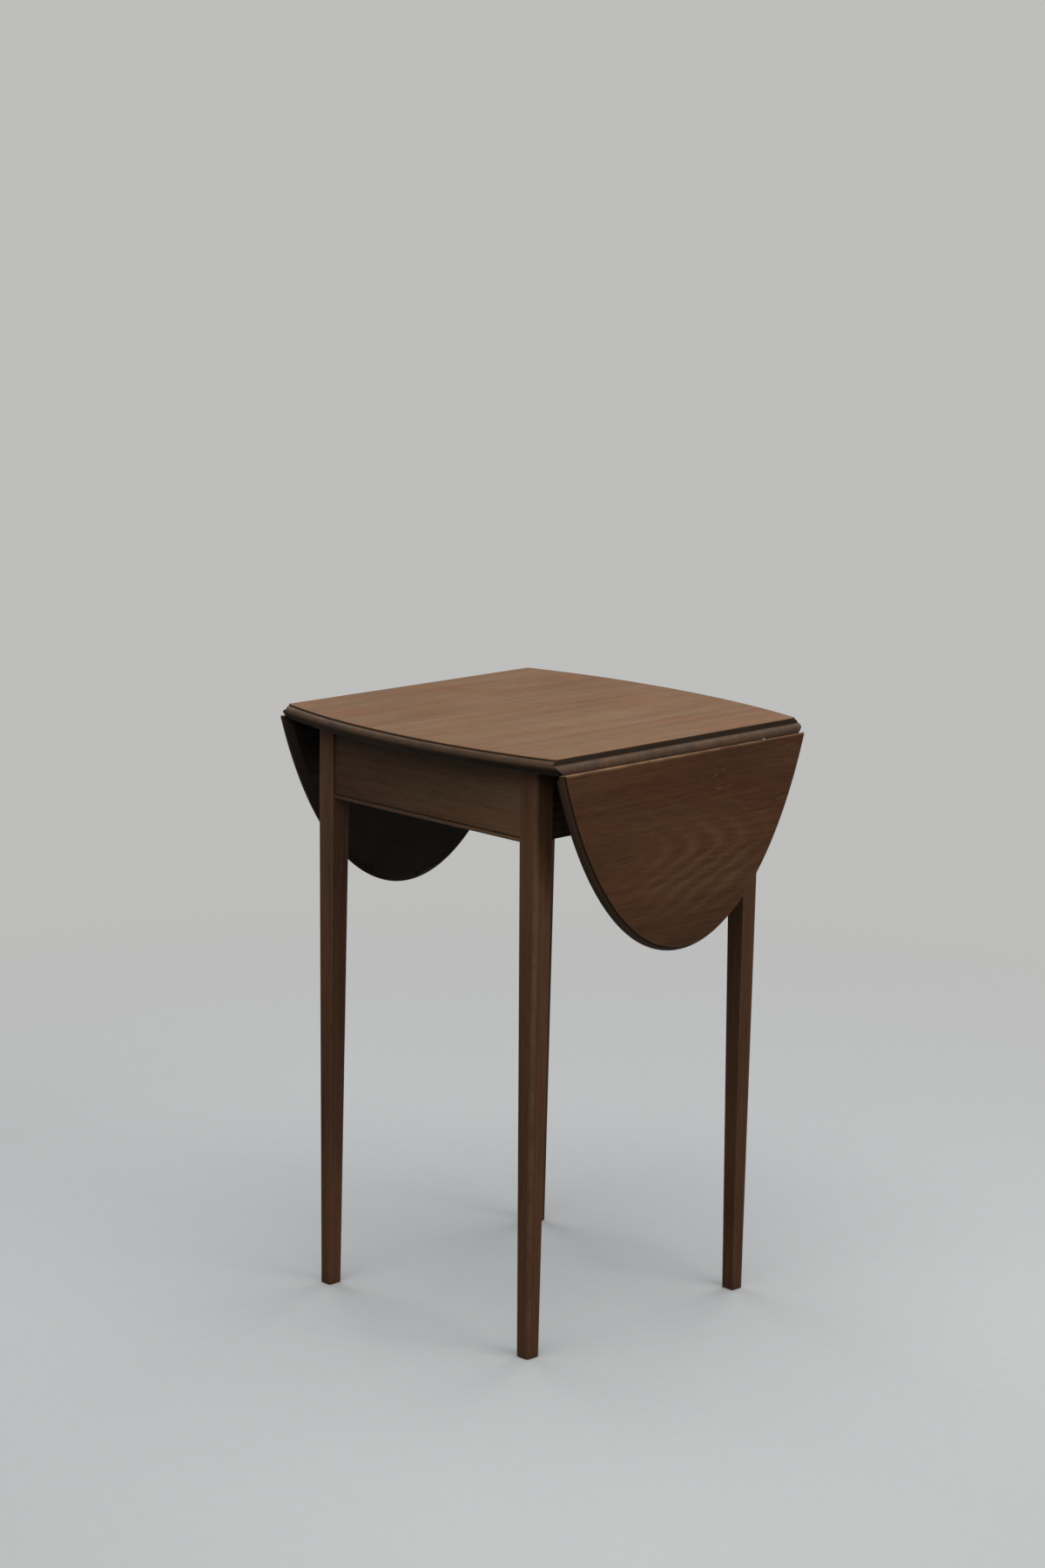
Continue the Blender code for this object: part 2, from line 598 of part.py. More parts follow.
def fly_knuckle(obj, cleared_fingers):
    """Rounds the end on the pin, clears the other half's fingers and bores the pin's hole."""
    join(obj, rod_mesh("knuckle", FLY_KNUCKLE_RADIUS, RAIL_BOTTOM, FLY_TOP))
    for finger in cleared_fingers:
        low = RAIL_BOTTOM + finger * FINGER - (CUT_MARGIN if finger == 0 else SEAT_GAP / 2)
        high = RAIL_BOTTOM + (finger + 1) * FINGER + (CUT_MARGIN if finger == FLY_FINGERS - 1 else SEAT_GAP / 2)
        cut(obj, rod_mesh(f"finger_{finger}", FLY_KNUCKLE_RADIUS + FLY_CLEARANCE, low, high))
    cut(obj, rod_mesh("pin_bore", FLY_PIN_RADIUS + PIN_CLEARANCE, 0, TABLE_HEIGHT))


def shoulder_bevel_mesh(sign):
    """Bevel at 45 degrees on the outer side, so that the two halves meet only when the bracket stands square."""
    reach = FLY_THICKNESS / 2 + CUT_MARGIN
    ease = sign * FLY_CLEARANCE / 2
    past = -sign * CUT_MARGIN
    outline = [(0, ease), (reach, sign * reach + ease), (reach, past), (0, past)]
    return flat_mesh("shoulder_bevel", outline, 0, TABLE_HEIGHT, "Z")


def add_fly(name, side):
    axis = axis_empty(f"{name}_fly_axis", side, (FLY_X, FLY_PIN_OFFSET, 0))
    half = FLY_THICKNESS / 2
    tip = FLY_TOP - FLY_TIP_DEPTH
    hollow = []
    for step in range(FLY_CURVE_STEPS + 1):
        angle = pi / 2 * step / FLY_CURVE_STEPS
        hollow.append((
            -FLY_LENGTH + FLY_CURVE_LENGTH * sin(angle),
            RAIL_BOTTOM + (tip - RAIL_BOTTOM) * cos(angle),
        ))
    outline = [(0, RAIL_BOTTOM), (0, FLY_TOP), (-FLY_LENGTH, FLY_TOP), *hollow]
    bracket_name = f"{name}_fly_bracket"
    bracket = part(bracket_name, flat_mesh(bracket_name, outline, -half, half, "X"), FRAME_WOOD, axis)
    cut(bracket, shoulder_bevel_mesh(-1))
    fly_knuckle(bracket, range(0, FLY_FINGERS, 2))

    block_name = f"{name}_fly_block"
    block_end = LEG_INNER_Y - FLY_PIN_OFFSET - SEAT_GAP
    block_mesh = box_mesh(block_name, (-half, 0, RAIL_BOTTOM), (half, block_end, FLY_TOP))
    block = part(block_name, block_mesh, FRAME_WOOD, axis)
    cut(block, shoulder_bevel_mesh(1))
    fly_knuckle(block, range(1, FLY_FINGERS, 2))
    part(f"{name}_fly_pin", rod_mesh("fly_pin", FLY_PIN_RADIUS, RAIL_BOTTOM, FLY_TOP), STEEL, axis)


def add_glue_block(name, x, y):
    """Block glued inside an end rail, with the screw that holds the top down."""
    low = (-BLOCK_LENGTH / 2, -BLOCK_WIDTH / 2, -BLOCK_DEPTH)
    mesh = box_mesh(f"{name}_glue_block", low, (BLOCK_LENGTH / 2, BLOCK_WIDTH / 2, 0))
    block = part(f"{name}_glue_block", mesh, INNER_WOOD, location=(x, y, RAIL_TOP))
    head = -BLOCK_DEPTH + SCREW_SINK
    cut(block, screw_hole_mesh("screw_hole", BLOCK_DEPTH + CUT_MARGIN), (0, 0, head), HEAD_DOWN)
    add_screw(f"{name}_top_screw", TOP_SCREW, None, (x, y, RAIL_TOP + head), HEAD_DOWN)


def end_name(y):
    return "front" if y < 0 else "back"


def main():
    centre_top()
    for side_name, sign, turn in (("right", 1, 0), ("left", -1, pi)):
        side = axis_empty(f"{side_name}_side", rotation=(0, 0, turn))
        leaf = add_leaf(f"{side_name}_leaf", side)
        for y in HINGE_YS:
            add_hinge(f"{end_name(sign * y)}_{side_name}", side, leaf, y)
        add_side_rail(f"{side_name}_rail", side)
        add_fly(side_name, side)
        for y_sign in (-1, 1):
            corner = f"{end_name(y_sign)}_{side_name}"
            add_leg(f"{corner}_leg", sign, y_sign)
            add_glue_block(corner, sign * BLOCK_X, y_sign * BLOCK_Y)
    for end, turn in (("front", 0), ("back", pi)):
        add_end_rail(f"{end}_rail", turn)
        add_bead(f"{end}_bead", turn)


main()
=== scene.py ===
"""Looks of a small mahogany drop-leaf table: oval top, hanging leaves on rule joints, tapered legs.

Metres, +Z up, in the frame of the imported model. The boards, legs, rails and beads are drawn again here with
eased arrises and a measure of how near each point is to an arris. The hidden pieces keep their solids.
"""

from math import cos, pi, radians, sin

import bmesh
import bpy
import numpy as np
from mathutils import Matrix, Vector


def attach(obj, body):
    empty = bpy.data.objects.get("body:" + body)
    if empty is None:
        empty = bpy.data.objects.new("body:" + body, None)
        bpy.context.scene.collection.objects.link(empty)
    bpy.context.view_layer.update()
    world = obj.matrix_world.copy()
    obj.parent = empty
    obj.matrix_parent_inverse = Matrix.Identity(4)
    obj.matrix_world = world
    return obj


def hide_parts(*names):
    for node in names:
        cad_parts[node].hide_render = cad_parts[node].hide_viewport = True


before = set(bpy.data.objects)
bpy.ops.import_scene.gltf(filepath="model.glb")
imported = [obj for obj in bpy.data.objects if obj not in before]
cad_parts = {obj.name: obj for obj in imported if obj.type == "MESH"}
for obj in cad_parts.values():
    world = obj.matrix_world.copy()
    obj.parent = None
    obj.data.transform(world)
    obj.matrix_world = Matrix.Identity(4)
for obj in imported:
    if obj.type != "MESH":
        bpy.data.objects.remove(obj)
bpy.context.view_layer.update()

# Sizes of the table, as in the solids
TABLE_HEIGHT = 0.700
SEAT_GAP = 0.0003
OVAL_HALF_LENGTH = 0.441
OVAL_HALF_WIDTH = 0.2255
BOARD_THICKNESS = 0.018
EDGE_FILLET = 0.0025
EDGE_ROUND_OUT = 0.0055
EDGE_ROUND_DROP = 0.0070
EDGE_FLAT = 0.0008
EDGE_UNDER_BEVEL = 0.0075
EDGE_FOOT = EDGE_FILLET + EDGE_ROUND_DROP
JOINT_FILLET = 0.0065
JOINT_CLEARANCE = 0.0008
HINGE_X = 0.220
KNUCKLE_RADIUS = 0.0025
UNDERSIDE = TABLE_HEIGHT - BOARD_THICKNESS
PIN_HEIGHT = UNDERSIDE + KNUCKLE_RADIUS
JOINT_RADIUS = BOARD_THICKNESS - JOINT_FILLET - KNUCKLE_RADIUS
SURFACE = JOINT_FILLET + JOINT_RADIUS
HINGE_Y = 0.125
RECESS_HALF = 0.0163
RECESS_ROOF = -0.0004
PLATE_RECESS = 0.0263
FLAP_RECESS_START = 0.004
FLAP_RECESS = 0.0383
RECESS_PAST_ROUND = 0.002
RECESS_PAST_UNDERSIDE = 0.001
GROOVE_RADIUS = 0.0029
LEG_X = 0.1805
LEG_Y = 0.1845
LEG_SIZE = 0.0258
FOOT_SIZE = 0.0175
FOOT_INSET = 0.0032
LEG_CORNER_ROUND = 0.004
RAIL_DEPTH = 0.0862
RAIL_SETBACK = 0.003
RAIL_THICKNESS = 0.016
RAIL_TOP = UNDERSIDE - SEAT_GAP
RAIL_BOTTOM = UNDERSIDE - RAIL_DEPTH
RAIL_FACE = LEG_Y - RAIL_SETBACK
RAIL_BACK = RAIL_FACE - RAIL_THICKNESS
RAIL_HALF = LEG_X - LEG_SIZE - SEAT_GAP
BEAD_HEIGHT = 0.0045
BEAD_PROUD = 0.0018
BEAD_TONGUE = 0.004

# Easing of the arrises, and how finely the rounds are drawn
ARRIS = 0.0006
LEG_ARRIS = 0.0008
ARRIS_STEPS = 4
ROUND_STEPS = 12
BOW_STEPS = 72
SIDE_STEPS = 40
LEAF_STEPS = 120
LEAF_ROWS = 36
UNDER_STEPS = 4
GROOVE_STEPS = 16
RAIL_STEPS = 24
LEG_LEVELS = 12
LEG_FIRST_LEVEL = 0.02
CLOSE_END = 0.9985
LEVEL_GAP = 4e-5
JOIN_DISTANCE = 2e-6
SPECK = 1e-7
SHARP_ANGLE = radians(38)

# Wear, painted shade and painted highlight: widths of the rubbed and dirty bands, and tables of (depth below the top
# surface, dirt_and_shade or rub)
RUB_WIDTH = 0.0030
LEG_RUB_WIDTH = 0.0012
DIRT_START = 0.0005
DIRT_FADE = 0.0020
EDGE_RUB = 0.4
# The grime in the fillet and under the moulded edge is also painted shade.
EDGE_DIRT_AND_SHADE = (
    (ARRIS, 0.0), (ARRIS + DIRT_START, 0.75), (EDGE_FILLET, 0.8), (EDGE_FILLET + DIRT_START, 0.5),
    (EDGE_FOOT - DIRT_FADE, 0.5), (EDGE_FOOT, 0.9), (BOARD_THICKNESS, 1.0),
)
# The grime in the tall fillet beside the leaf is also painted shade in the gap.
OVOLO_DIRT_AND_SHADE = (
    (ARRIS, 0.0), (ARRIS + DIRT_START, 0.9), (JOINT_FILLET, 1.0), (JOINT_FILLET + DIRT_START, 0.5),
    (SURFACE, 0.7), (BOARD_THICKNESS, 1.0),
)
# The cove's grime is also painted shade between the top and the leaf.
COVE_DIRT_AND_SHADE = ((JOINT_FILLET - DIRT_FADE, 0.0), (JOINT_FILLET, 1.0), (BOARD_THICKNESS, 1.0))
# The lip's rub is also a painted highlight, strongest towards the front.
LIP_RUB_AND_HIGHLIGHT = ((ARRIS, 1.5), (JOINT_FILLET - DIRT_FADE, 1.2), (JOINT_FILLET, 0.0))
LIP_RUB_AND_HIGHLIGHT_ALONG = ((-0.03, 1.0), (0.09, 0.5), (0.15, 0.25))
# The quirk over the bead takes dust and grime that are also painted shade.
QUIRK_DUST_AND_SHADE = 0.35
QUIRK_GRIME_AND_SHADE = (0.5, 1.0)
# From here the bead's lower side takes grime that is also painted shade.
BEAD_GRIME_AND_SHADE_START = 0.7 * pi

# Camera that took the view: angles, place and lens in an image of 1200 by 1800
VIEW_AZIMUTH = radians(45.3385)
VIEW_PITCH = radians(11.6055)
VIEW_ROLL = radians(0.8923)
VIEW_DISTANCE = 4.1826
VIEW_CENTRE_HEIGHT = 0.4
VIEW_ACROSS = -0.01674
VIEW_UP = 0.20847
FOCAL_PIXELS = 4077.76
IMAGE_HEIGHT = 1800
SENSOR = 36.0
VIEW_REACH = 100.0

# Light and floor
BACKGROUND = 0.515
BACKGROUND_TINT = (1.0, 0.995, 0.98)
AMBIENT = 0.098
AMBIENT_TINT = (0.75, 1.0, 1.29)
FLOOR_GAP = 0.0004
FLOOR_REACH = (0.2, 30.0)
FLOOR_RINGS = 24
FLOOR_SPOKES = 96
FLOOR_FADE = (0.5, 2.2)
FLOOR_PALE = ((0.585, 0.582, 0.572), (0.615, 0.612, 0.602))
FLOOR_BOUNCE = (0.075, 0.105, 0.12)
FLOOR_GLOW_BOUNCE = 0.1
FLOOR_ROUGHNESS = 0.9
FLOOR_SHINE = 0.1
TABLE_MIDDLE = (0.0, 0.0, 0.45)

# Colours that the woods share
BLUSH = (1.04, 0.90, 0.86)
PORE = (0.022, 0.009, 0.004)
DUST = (0.062, 0.038, 0.024)
# The grime colour is also painted shade in creases, coves and under edges.
GRIME_AND_SHADE = (0.034, 0.023, 0.016)

# How strongly things show on wood and metal
RING_POWER = 1.4
RING_MIDDLE = 0.45
FIGURE_CORE = 0.3
FIGURE_HALO = 1.5
FIGURE_REST = 0.12
FIGURE_STRETCH = (1.0, 0.7, 1.4)
STREAK_LIFT = 0.16
STREAK_FADE = 0.06
PORE_SHARE = 0.40
RUB_SHARE = 0.6
RUB_POWER = 1.3
SCRATCH_SHARE = 0.28
SCRATCH_DIRT = 0.3
SCRATCH_SLANTS = (0.12, -0.20)
SCRATCH_TIP = 0.7
RAW_SHARE = 0.92
RAW_PORE_SHARE = 0.6
RAW_BORDER = 0.0001
WAX_SHINE = 0.10
PORE_DULLING = 0.15
GRIME_DULLING = 0.40
FIBRE_RELIEF = 0.35
PORE_RELIEF = -0.6
DENT_RELIEF = -0.8
RELIEF_STRENGTH = 0.18
RELIEF_DEPTH = 0.0004
METAL_SPOT_SHARE = 0.6
METAL_DULLING = 0.2

# Noise: patches to a metre along X, Y and Z, where grain runs along X
BEND_PATCHES = (2.2, 9.0, 9.0)
RING_PATCHES = (3.0, 26.0, 26.0)
RIBBON_PATCHES = (1.6, 40.0, 40.0)
LINE_PATCHES = (3.5, 190.0, 190.0)
FIBRE_PATCHES = (34.0, 620.0, 620.0)
TONE_PATCHES = (4.0, 9.0, 9.0)
BLUSH_PATCHES = (5.0, 24.0, 24.0)
PORE_PATCHES = (42.0, 1700.0, 1700.0)
RUB_PATCHES = (28.0, 28.0, 28.0)
DIRT_PATCHES = (55.0, 55.0, 55.0)
WAX_PATCHES = (14.0, 14.0, 14.0)
SCRATCH_PATCHES = (7.0, 420.0, 420.0)
SCRATCHED_PATCHES = (11.0, 11.0, 11.0)
DENT_PATCHES = 38.0
TARNISH_PATCHES = (90.0, 90.0, 90.0)
SPOT_PATCHES = (900.0, 900.0, 900.0)
FLOOR_PATCHES = (60.0, 60.0, 60.0)

# Limits of noise between which a mask goes from 0 to 1, or from the third number to the fourth
BLUSH_LIMITS = (0.42, 0.66)
PORE_LIMITS = (0.60, 0.72)
RUB_LIMITS = (0.35, 0.62, 0.25, 1.0)
DUST_LIMITS = (0.32, 0.68, 0.58, 0.96)
GRIME_AND_SHADE_LIMITS = (0.3, 0.7, 0.95, 0.75)
WAX_LIMITS = (0.3, 0.7, -0.06, 0.08)
SCRATCH_LIMITS = (0.735, 0.77)
SCRATCHED_LIMITS = (0.50, 0.62)
DENT_LIMITS = (0.05, 0.10, 1.0, 0.0)
RAW_LIMITS = (0.25, 0.75)
TARNISH_LIMITS = (0.38, 0.62)
SPOT_LIMITS = (0.56, 0.68)

# Ways that grain runs, as turns that lay it along X, and directions in the table
ALONG_X = (0.0, 0.0, 0.0)
ALONG_Y = (0.0, 0.0, -pi / 2)
ALONG_Z = (0.0, pi / 2, 0.0)
ACROSS = (1.0, 0.0, 0.0)
LENGTHWAYS = (0.0, 1.0, 0.0)
UPWARD = (0.0, 0.0, 1.0)


# Surfaces

def grid_quads(rows, columns, wrap=False):
    """Corner numbers of the quads in a grid of points; with wrap, the last column joins the first."""
    index = np.arange(rows * columns).reshape(rows, columns)
    if wrap:
        index = np.concatenate([index, index[:, :1]], axis=1)
    corners = [index[:-1, :-1], index[:-1, 1:], index[1:, 1:], index[1:, :-1]]
    return np.stack(corners, axis=-1).reshape(-1, 4)


def mesh_of(name, surfaces, caps=()):
    """One closed mesh from grids of points, joined where their borders meet.

    Each surface is (points by row and column, wrap, wear), and each cap, (points, wear), is a ring that closes an end
    with one flat face. Wear is (edge, dirt_and_shade) at each point: edge is nearness to an arris, which on the leaf's
    lip also paints a highlight, and dirt_and_shade is 0 for clean, a half for dusty and 1 for black with grime, which
    in creases, coves and under edges is painted shade.
    """
    points, faces, wears = [], [], []
    start = 0
    for grid, wrap, wear in surfaces:
        rows, columns = grid.shape[:2]
        points.append(grid.reshape(-1, 3))
        wears.append(np.broadcast_to(wear, (rows, columns, 2)).reshape(-1, 2))
        faces.extend((grid_quads(rows, columns, wrap) + start).tolist())
        start += rows * columns
    for ring, wear in caps:
        points.append(ring)
        wears.append(np.broadcast_to(wear, (len(ring), 2)))
        faces.append(list(range(start, start + len(ring))))
        start += len(ring)
    mesh = bpy.data.meshes.new(name)
    mesh.from_pydata(np.concatenate(points).tolist(), [], faces)
    for label, values in zip(("edge", "dirt_and_shade"), np.concatenate(wears).T):
        layer = mesh.attributes.new(label, "FLOAT", "POINT")
        layer.data.foreach_set("value", values.astype(np.float32))
    bm = bmesh.new()
    bm.from_mesh(mesh)
    bmesh.ops.remove_doubles(bm, verts=bm.verts, dist=JOIN_DISTANCE)
    bmesh.ops.dissolve_degenerate(bm, dist=SPECK, edges=bm.edges)
    bmesh.ops.recalc_face_normals(bm, faces=bm.faces)
    bm.to_mesh(mesh)
    bm.free()
    return mesh


def smooth(mesh):
    """Shades a mesh smooth, with its sharper edges kept."""
    mesh.shade_smooth()
    mesh.set_sharp_from_angle(angle=SHARP_ANGLE)


def add_piece(name, mesh, material, body, node):
    """Makes a mesh a piece that rides on a body and stands for a solid."""
    smooth(mesh)
    mesh.materials.clear()
    mesh.materials.append(material)
    piece = bpy.data.objects.new(name, mesh)
    bpy.context.scene.collection.objects.link(piece)
    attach(piece, body)
    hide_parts(node)
    return piece


def carve(mesh, hollows):
    """The mesh with each hollow, a closed mesh, taken out of it."""
    body = bpy.data.objects.new("carved", mesh)
    bpy.context.scene.collection.objects.link(body)
    cutters = []
    for hollow in hollows:
        cutter = bpy.data.objects.new("hollow", hollow)
        bpy.context.scene.collection.objects.link(cutter)
        cutters.append(cutter)
        step = body.modifiers.new("hollow", "BOOLEAN")
        step.operation = "DIFFERENCE"
        step.solver = "EXACT"
        step.object = cutter
    carved = bpy.data.meshes.new_from_object(body.evaluated_get(bpy.context.evaluated_depsgraph_get()))
    carved.name = mesh.name
    for made in (body, *cutters):
        bpy.data.objects.remove(made)
    return carved


def board_levels():
    """Depths of the sections that a board is drawn from, close together on each round."""
    turn = np.linspace(0, pi / 2, ROUND_STEPS + 1)
    quick_turn = np.linspace(0, pi / 2, ARRIS_STEPS + 1)
    cove_top = (JOINT_RADIUS + JOINT_CLEARANCE) * np.sin(turn)
    depths = np.concatenate([
        ARRIS * (1 - np.cos(quick_turn)),
        EDGE_FILLET + EDGE_ROUND_DROP * (1 - np.cos(turn)),
        [EDGE_FOOT + EDGE_FLAT, ARRIS + DIRT_START, JOINT_FILLET + DIRT_START],
        SURFACE - JOINT_RADIUS * np.cos(turn),
        SURFACE - cove_top,
        np.linspace(SURFACE, BOARD_THICKNESS, UNDER_STEPS + 1),
    ])
    depths = np.unique(np.round(np.clip(depths, 0, BOARD_THICKNESS), 6))
    keep = np.concatenate([[True], np.diff(depths) > LEVEL_GAP])
    depths = depths[keep]
    depths[-1] = BOARD_THICKNESS
    return depths


def arris_ease(depth):
    """How far a quarter round at the top arris draws a side in, at each depth."""
    left = np.clip(ARRIS - depth, 0, ARRIS)
    return ARRIS - np.sqrt(ARRIS ** 2 - left ** 2)


def edge_outset(depth):
    """How far the moulded edge stands out at each depth: fillet, quarter of an ellipse, flat, bevel under."""
    up = np.clip((EDGE_FOOT - depth) / EDGE_ROUND_DROP, 0, 1)
    out = EDGE_ROUND_OUT * np.sqrt(1 - up ** 2)
    bevel = np.clip((depth - EDGE_FOOT - EDGE_FLAT) / (BOARD_THICKNESS - EDGE_FOOT - EDGE_FLAT), 0, 1)
    return out - EDGE_UNDER_BEVEL * bevel - arris_ease(depth)


def ovolo_outset(depth):
    """How far the top's hinge side stands out from its fillet: a quarter round about the hinge pin."""
    rise = np.minimum(SURFACE - depth, JOINT_RADIUS)
    return np.sqrt(np.maximum(JOINT_RADIUS ** 2 - rise ** 2, 0)) - arris_ease(depth)


def cove_start(depth):
    """How far from the hinge pin the leaf starts: a fillet, then a cove that clears the top's round."""
    radius = JOINT_RADIUS + JOINT_CLEARANCE
    rise = SURFACE - depth
    cove = np.sqrt(np.maximum(radius ** 2 - rise ** 2, 0))
    return np.maximum(cove, JOINT_CLEARANCE) + arris_ease(depth)


def level_table():
    """Depth, extra inset and nearness to the top arris of each section of a board.

    The first section lies in the top surface, a rub's width inside the arris.
    """
    depth = np.concatenate([[0.0], board_levels()])
    inset = np.zeros_like(depth)
    inset[0] = RUB_WIDTH
    edge = np.clip(1 - (depth - ARRIS) / DIRT_START, 0, 1)
    edge[0] = 0.0
    return depth, inset, edge


def read_off(places, table):
    """The values at some places, from a table of (place, value)."""
    return np.interp(places, *zip(*table))


def wear_rows(edge, dirt_and_shade):
    """Wear of a side by depth: one row to each section, the same all along it."""
    return np.stack([edge, dirt_and_shade], axis=-1)[:, None, :]


def edge_wear_and_shade(depth, edge):
    """Wear of a moulded edge: grime and painted shade in the fillet, dust on the round, grime and painted shade under
    it.
    """
    return wear_rows(EDGE_RUB * edge, read_off(depth, EDGE_DIRT_AND_SHADE))


def ovolo_wear_and_shade(depth, edge):
    """Wear of the top's hinge side: grime and painted shade in the tall fillet, dust on the round."""
    return wear_rows(EDGE_RUB * edge, read_off(depth, OVOLO_DIRT_AND_SHADE))


def cove_wear_highlight_and_shade(depth, edge):
    """Wear of the leaf's hinge side: a lip rubbed bright and lit with a painted highlight, and grime and painted shade
    in the cove.
    """
    lip = read_off(depth, LIP_RUB_AND_HIGHLIGHT)
    lip[0] = edge[0]
    return wear_rows(lip, read_off(depth, COVE_DIRT_AND_SHADE))


def columns_of(wear, count):
    """Rows of wear repeated for a number of points along each section."""
    return np.repeat(wear, count, axis=1)


def close_ended(steps):
    """Even places from -1 to 1, with one more close to each end so that wear changes sharply there."""
    return np.sort(np.concatenate([np.linspace(-1, 1, steps + 1), [-CLOSE_END, CLOSE_END]]))


def hollow_mesh(outline, half, along_y):
    """A closed outline of (x, z) points carried along Y, half to each side of a place on Y."""
    outline = np.array(outline)
    across = np.array([along_y - half, along_y + half])
    grid = np.empty((2, len(outline), 3))
    grid[..., 0] = outline[:, 0]
    grid[..., 1] = across[:, None]
    grid[..., 2] = outline[:, 1]
    return mesh_of("hollow", [(grid, True, 0.0)], [(grid[0], 0.0), (grid[1], 0.0)])


def centre_top_mesh():
    """The middle board: at each depth, the part of an oval that lies between the two hinge sides.

    Ring: x runs from side to side with y on the oval, then y runs along each hinge side. The flat faces are grids
    of x over the width by y over the bow at that x.
    """
    depth, inset, edge = level_table()
    half = HINGE_X + ovolo_outset(depth) - inset
    long = OVAL_HALF_LENGTH + edge_outset(depth) - inset
    wide = OVAL_HALF_WIDTH + edge_outset(depth) - inset
    across = close_ended(BOW_STEPS)
    along = close_ended(SIDE_STEPS)

    def bow(x, level):
        return wide[level] * np.sqrt(1 - (x / long[level]) ** 2)

    levels = np.arange(len(depth))[:, None]
    x = half[:, None] * across
    y = bow(x, levels)
    side_y = y[:, -1:] * along
    side_x = np.broadcast_to(half[:, None], side_y.shape)
    ring_x = np.concatenate([x[:, :-1], side_x[:, :-1], x[:, :0:-1], -side_x[:, :-1]], axis=1)
    ring_y = np.concatenate([-y[:, :-1], side_y[:, :-1], y[:, :0:-1], -side_y[:, :-1]], axis=1)
    rings = np.stack([ring_x, ring_y, np.broadcast_to(TABLE_HEIGHT - depth[:, None], ring_x.shape)], axis=-1)
    bow_wear_and_shade = columns_of(edge_wear_and_shade(depth, edge), len(across) - 1)
    side_wear_and_shade = columns_of(ovolo_wear_and_shade(depth, edge), len(along) - 1)
    surfaces = [(rings, True, np.concatenate([bow_wear_and_shade, side_wear_and_shade, bow_wear_and_shade, side_wear_and_shade], axis=1))]
    for level in (0, len(depth) - 1):
        flat = np.empty((len(along), len(across), 3))
        flat[..., 0] = x[level]
        flat[..., 1] = along[:, None] * y[level]
        flat[..., 2] = TABLE_HEIGHT - depth[level]
        surfaces.append((flat, False, 0.0))
    mesh = mesh_of("centre_top_board", surfaces)
    reach = JOINT_RADIUS + RECESS_PAST_ROUND
    under = -KNUCKLE_RADIUS - RECESS_PAST_UNDERSIDE
    lift = np.arcsin(RECESS_ROOF / GROOVE_RADIUS)
    turn = np.linspace(pi - lift, lift, GROOVE_STEPS + 1)
    groove = np.stack([GROOVE_RADIUS * np.cos(turn), GROOVE_RADIUS * np.sin(turn)], axis=1)
    outline = np.concatenate([
        [(-PLATE_RECESS, under), (-PLATE_RECESS, RECESS_ROOF)], groove, [(reach, RECESS_ROOF), (reach, under)],
    ])
    hollows = []
    for side in (1, -1):
        placed = outline * (side, 1) + (side * HINGE_X, PIN_HEIGHT)
        hollows += [hollow_mesh(placed, RECESS_HALF, y_place) for y_place in (-HINGE_Y, HINGE_Y)]
    return carve(mesh, hollows)


def leaf_mesh(name, side):
    """A leaf: at each depth, the part of the oval past the cove, drawn level and then turned down about its pin.

    Ring: the oval by its own angle, then back along the hinge side at the same places on Y. The flat faces are
    grids of Y by the share of the way from the hinge side to the oval.
    """
    depth, inset, edge = level_table()
    start = cove_start(depth) + inset
    long = OVAL_HALF_LENGTH + edge_outset(depth) - inset
    wide = OVAL_HALF_WIDTH + edge_outset(depth) - inset
    limit = np.arccos((start + HINGE_X) / long)
    share = np.sin(np.linspace(-pi / 2, pi / 2, LEAF_STEPS + 1))
    angle = limit[:, None] * share
    oval_x = long[:, None] * np.cos(angle) - HINGE_X
    oval_y = wide[:, None] * np.sin(angle)
    start_x = np.broadcast_to(start[:, None], oval_x.shape)
    ring_x = np.concatenate([oval_x, start_x[:, -2:0:-1]], axis=1)
    ring_y = np.concatenate([oval_y, oval_y[:, -2:0:-1]], axis=1)
    rise = np.broadcast_to((SURFACE - depth)[:, None], ring_x.shape)
    oval_wear_and_shade = columns_of(edge_wear_and_shade(depth, edge), LEAF_STEPS + 1)
    lip_wear_highlight_and_shade = columns_of(cove_wear_highlight_and_shade(depth, edge), LEAF_STEPS - 1)
    lip_wear_highlight_and_shade[..., 0] *= read_off(oval_y[:, -2:0:-1], LIP_RUB_AND_HIGHLIGHT_ALONG)
    wear = np.concatenate([oval_wear_and_shade, lip_wear_highlight_and_shade], axis=1)
    surfaces = [(np.stack([ring_x, ring_y, rise], axis=-1), True, wear)]
    way = np.linspace(0, 1, LEAF_ROWS + 1)[:, None]
    for level in (0, len(depth) - 1):
        flat = np.empty((LEAF_ROWS + 1, LEAF_STEPS + 1, 3))
        flat[..., 0] = start[level] + way * (oval_x[level] - start[level])
        flat[..., 1] = oval_y[level]
        flat[..., 2] = SURFACE - depth[level]
        surfaces.append((flat, False, 0.0))
    under = -KNUCKLE_RADIUS - RECESS_PAST_UNDERSIDE
    recess = [
        (FLAP_RECESS_START, under), (FLAP_RECESS_START, RECESS_ROOF), (FLAP_RECESS, RECESS_ROOF), (FLAP_RECESS, under),
    ]
    mesh = carve(mesh_of(name, surfaces), [hollow_mesh(recess, RECESS_HALF, y) for y in (-HINGE_Y, HINGE_Y)])
    hang = Matrix.Rotation(pi / 2, 4, "Y")
    place = Matrix.Translation((HINGE_X, 0, PIN_HEIGHT))
    turn = Matrix.Rotation(0 if side > 0 else pi, 4, "Z")
    mesh.transform(turn @ place @ hang)
    return mesh


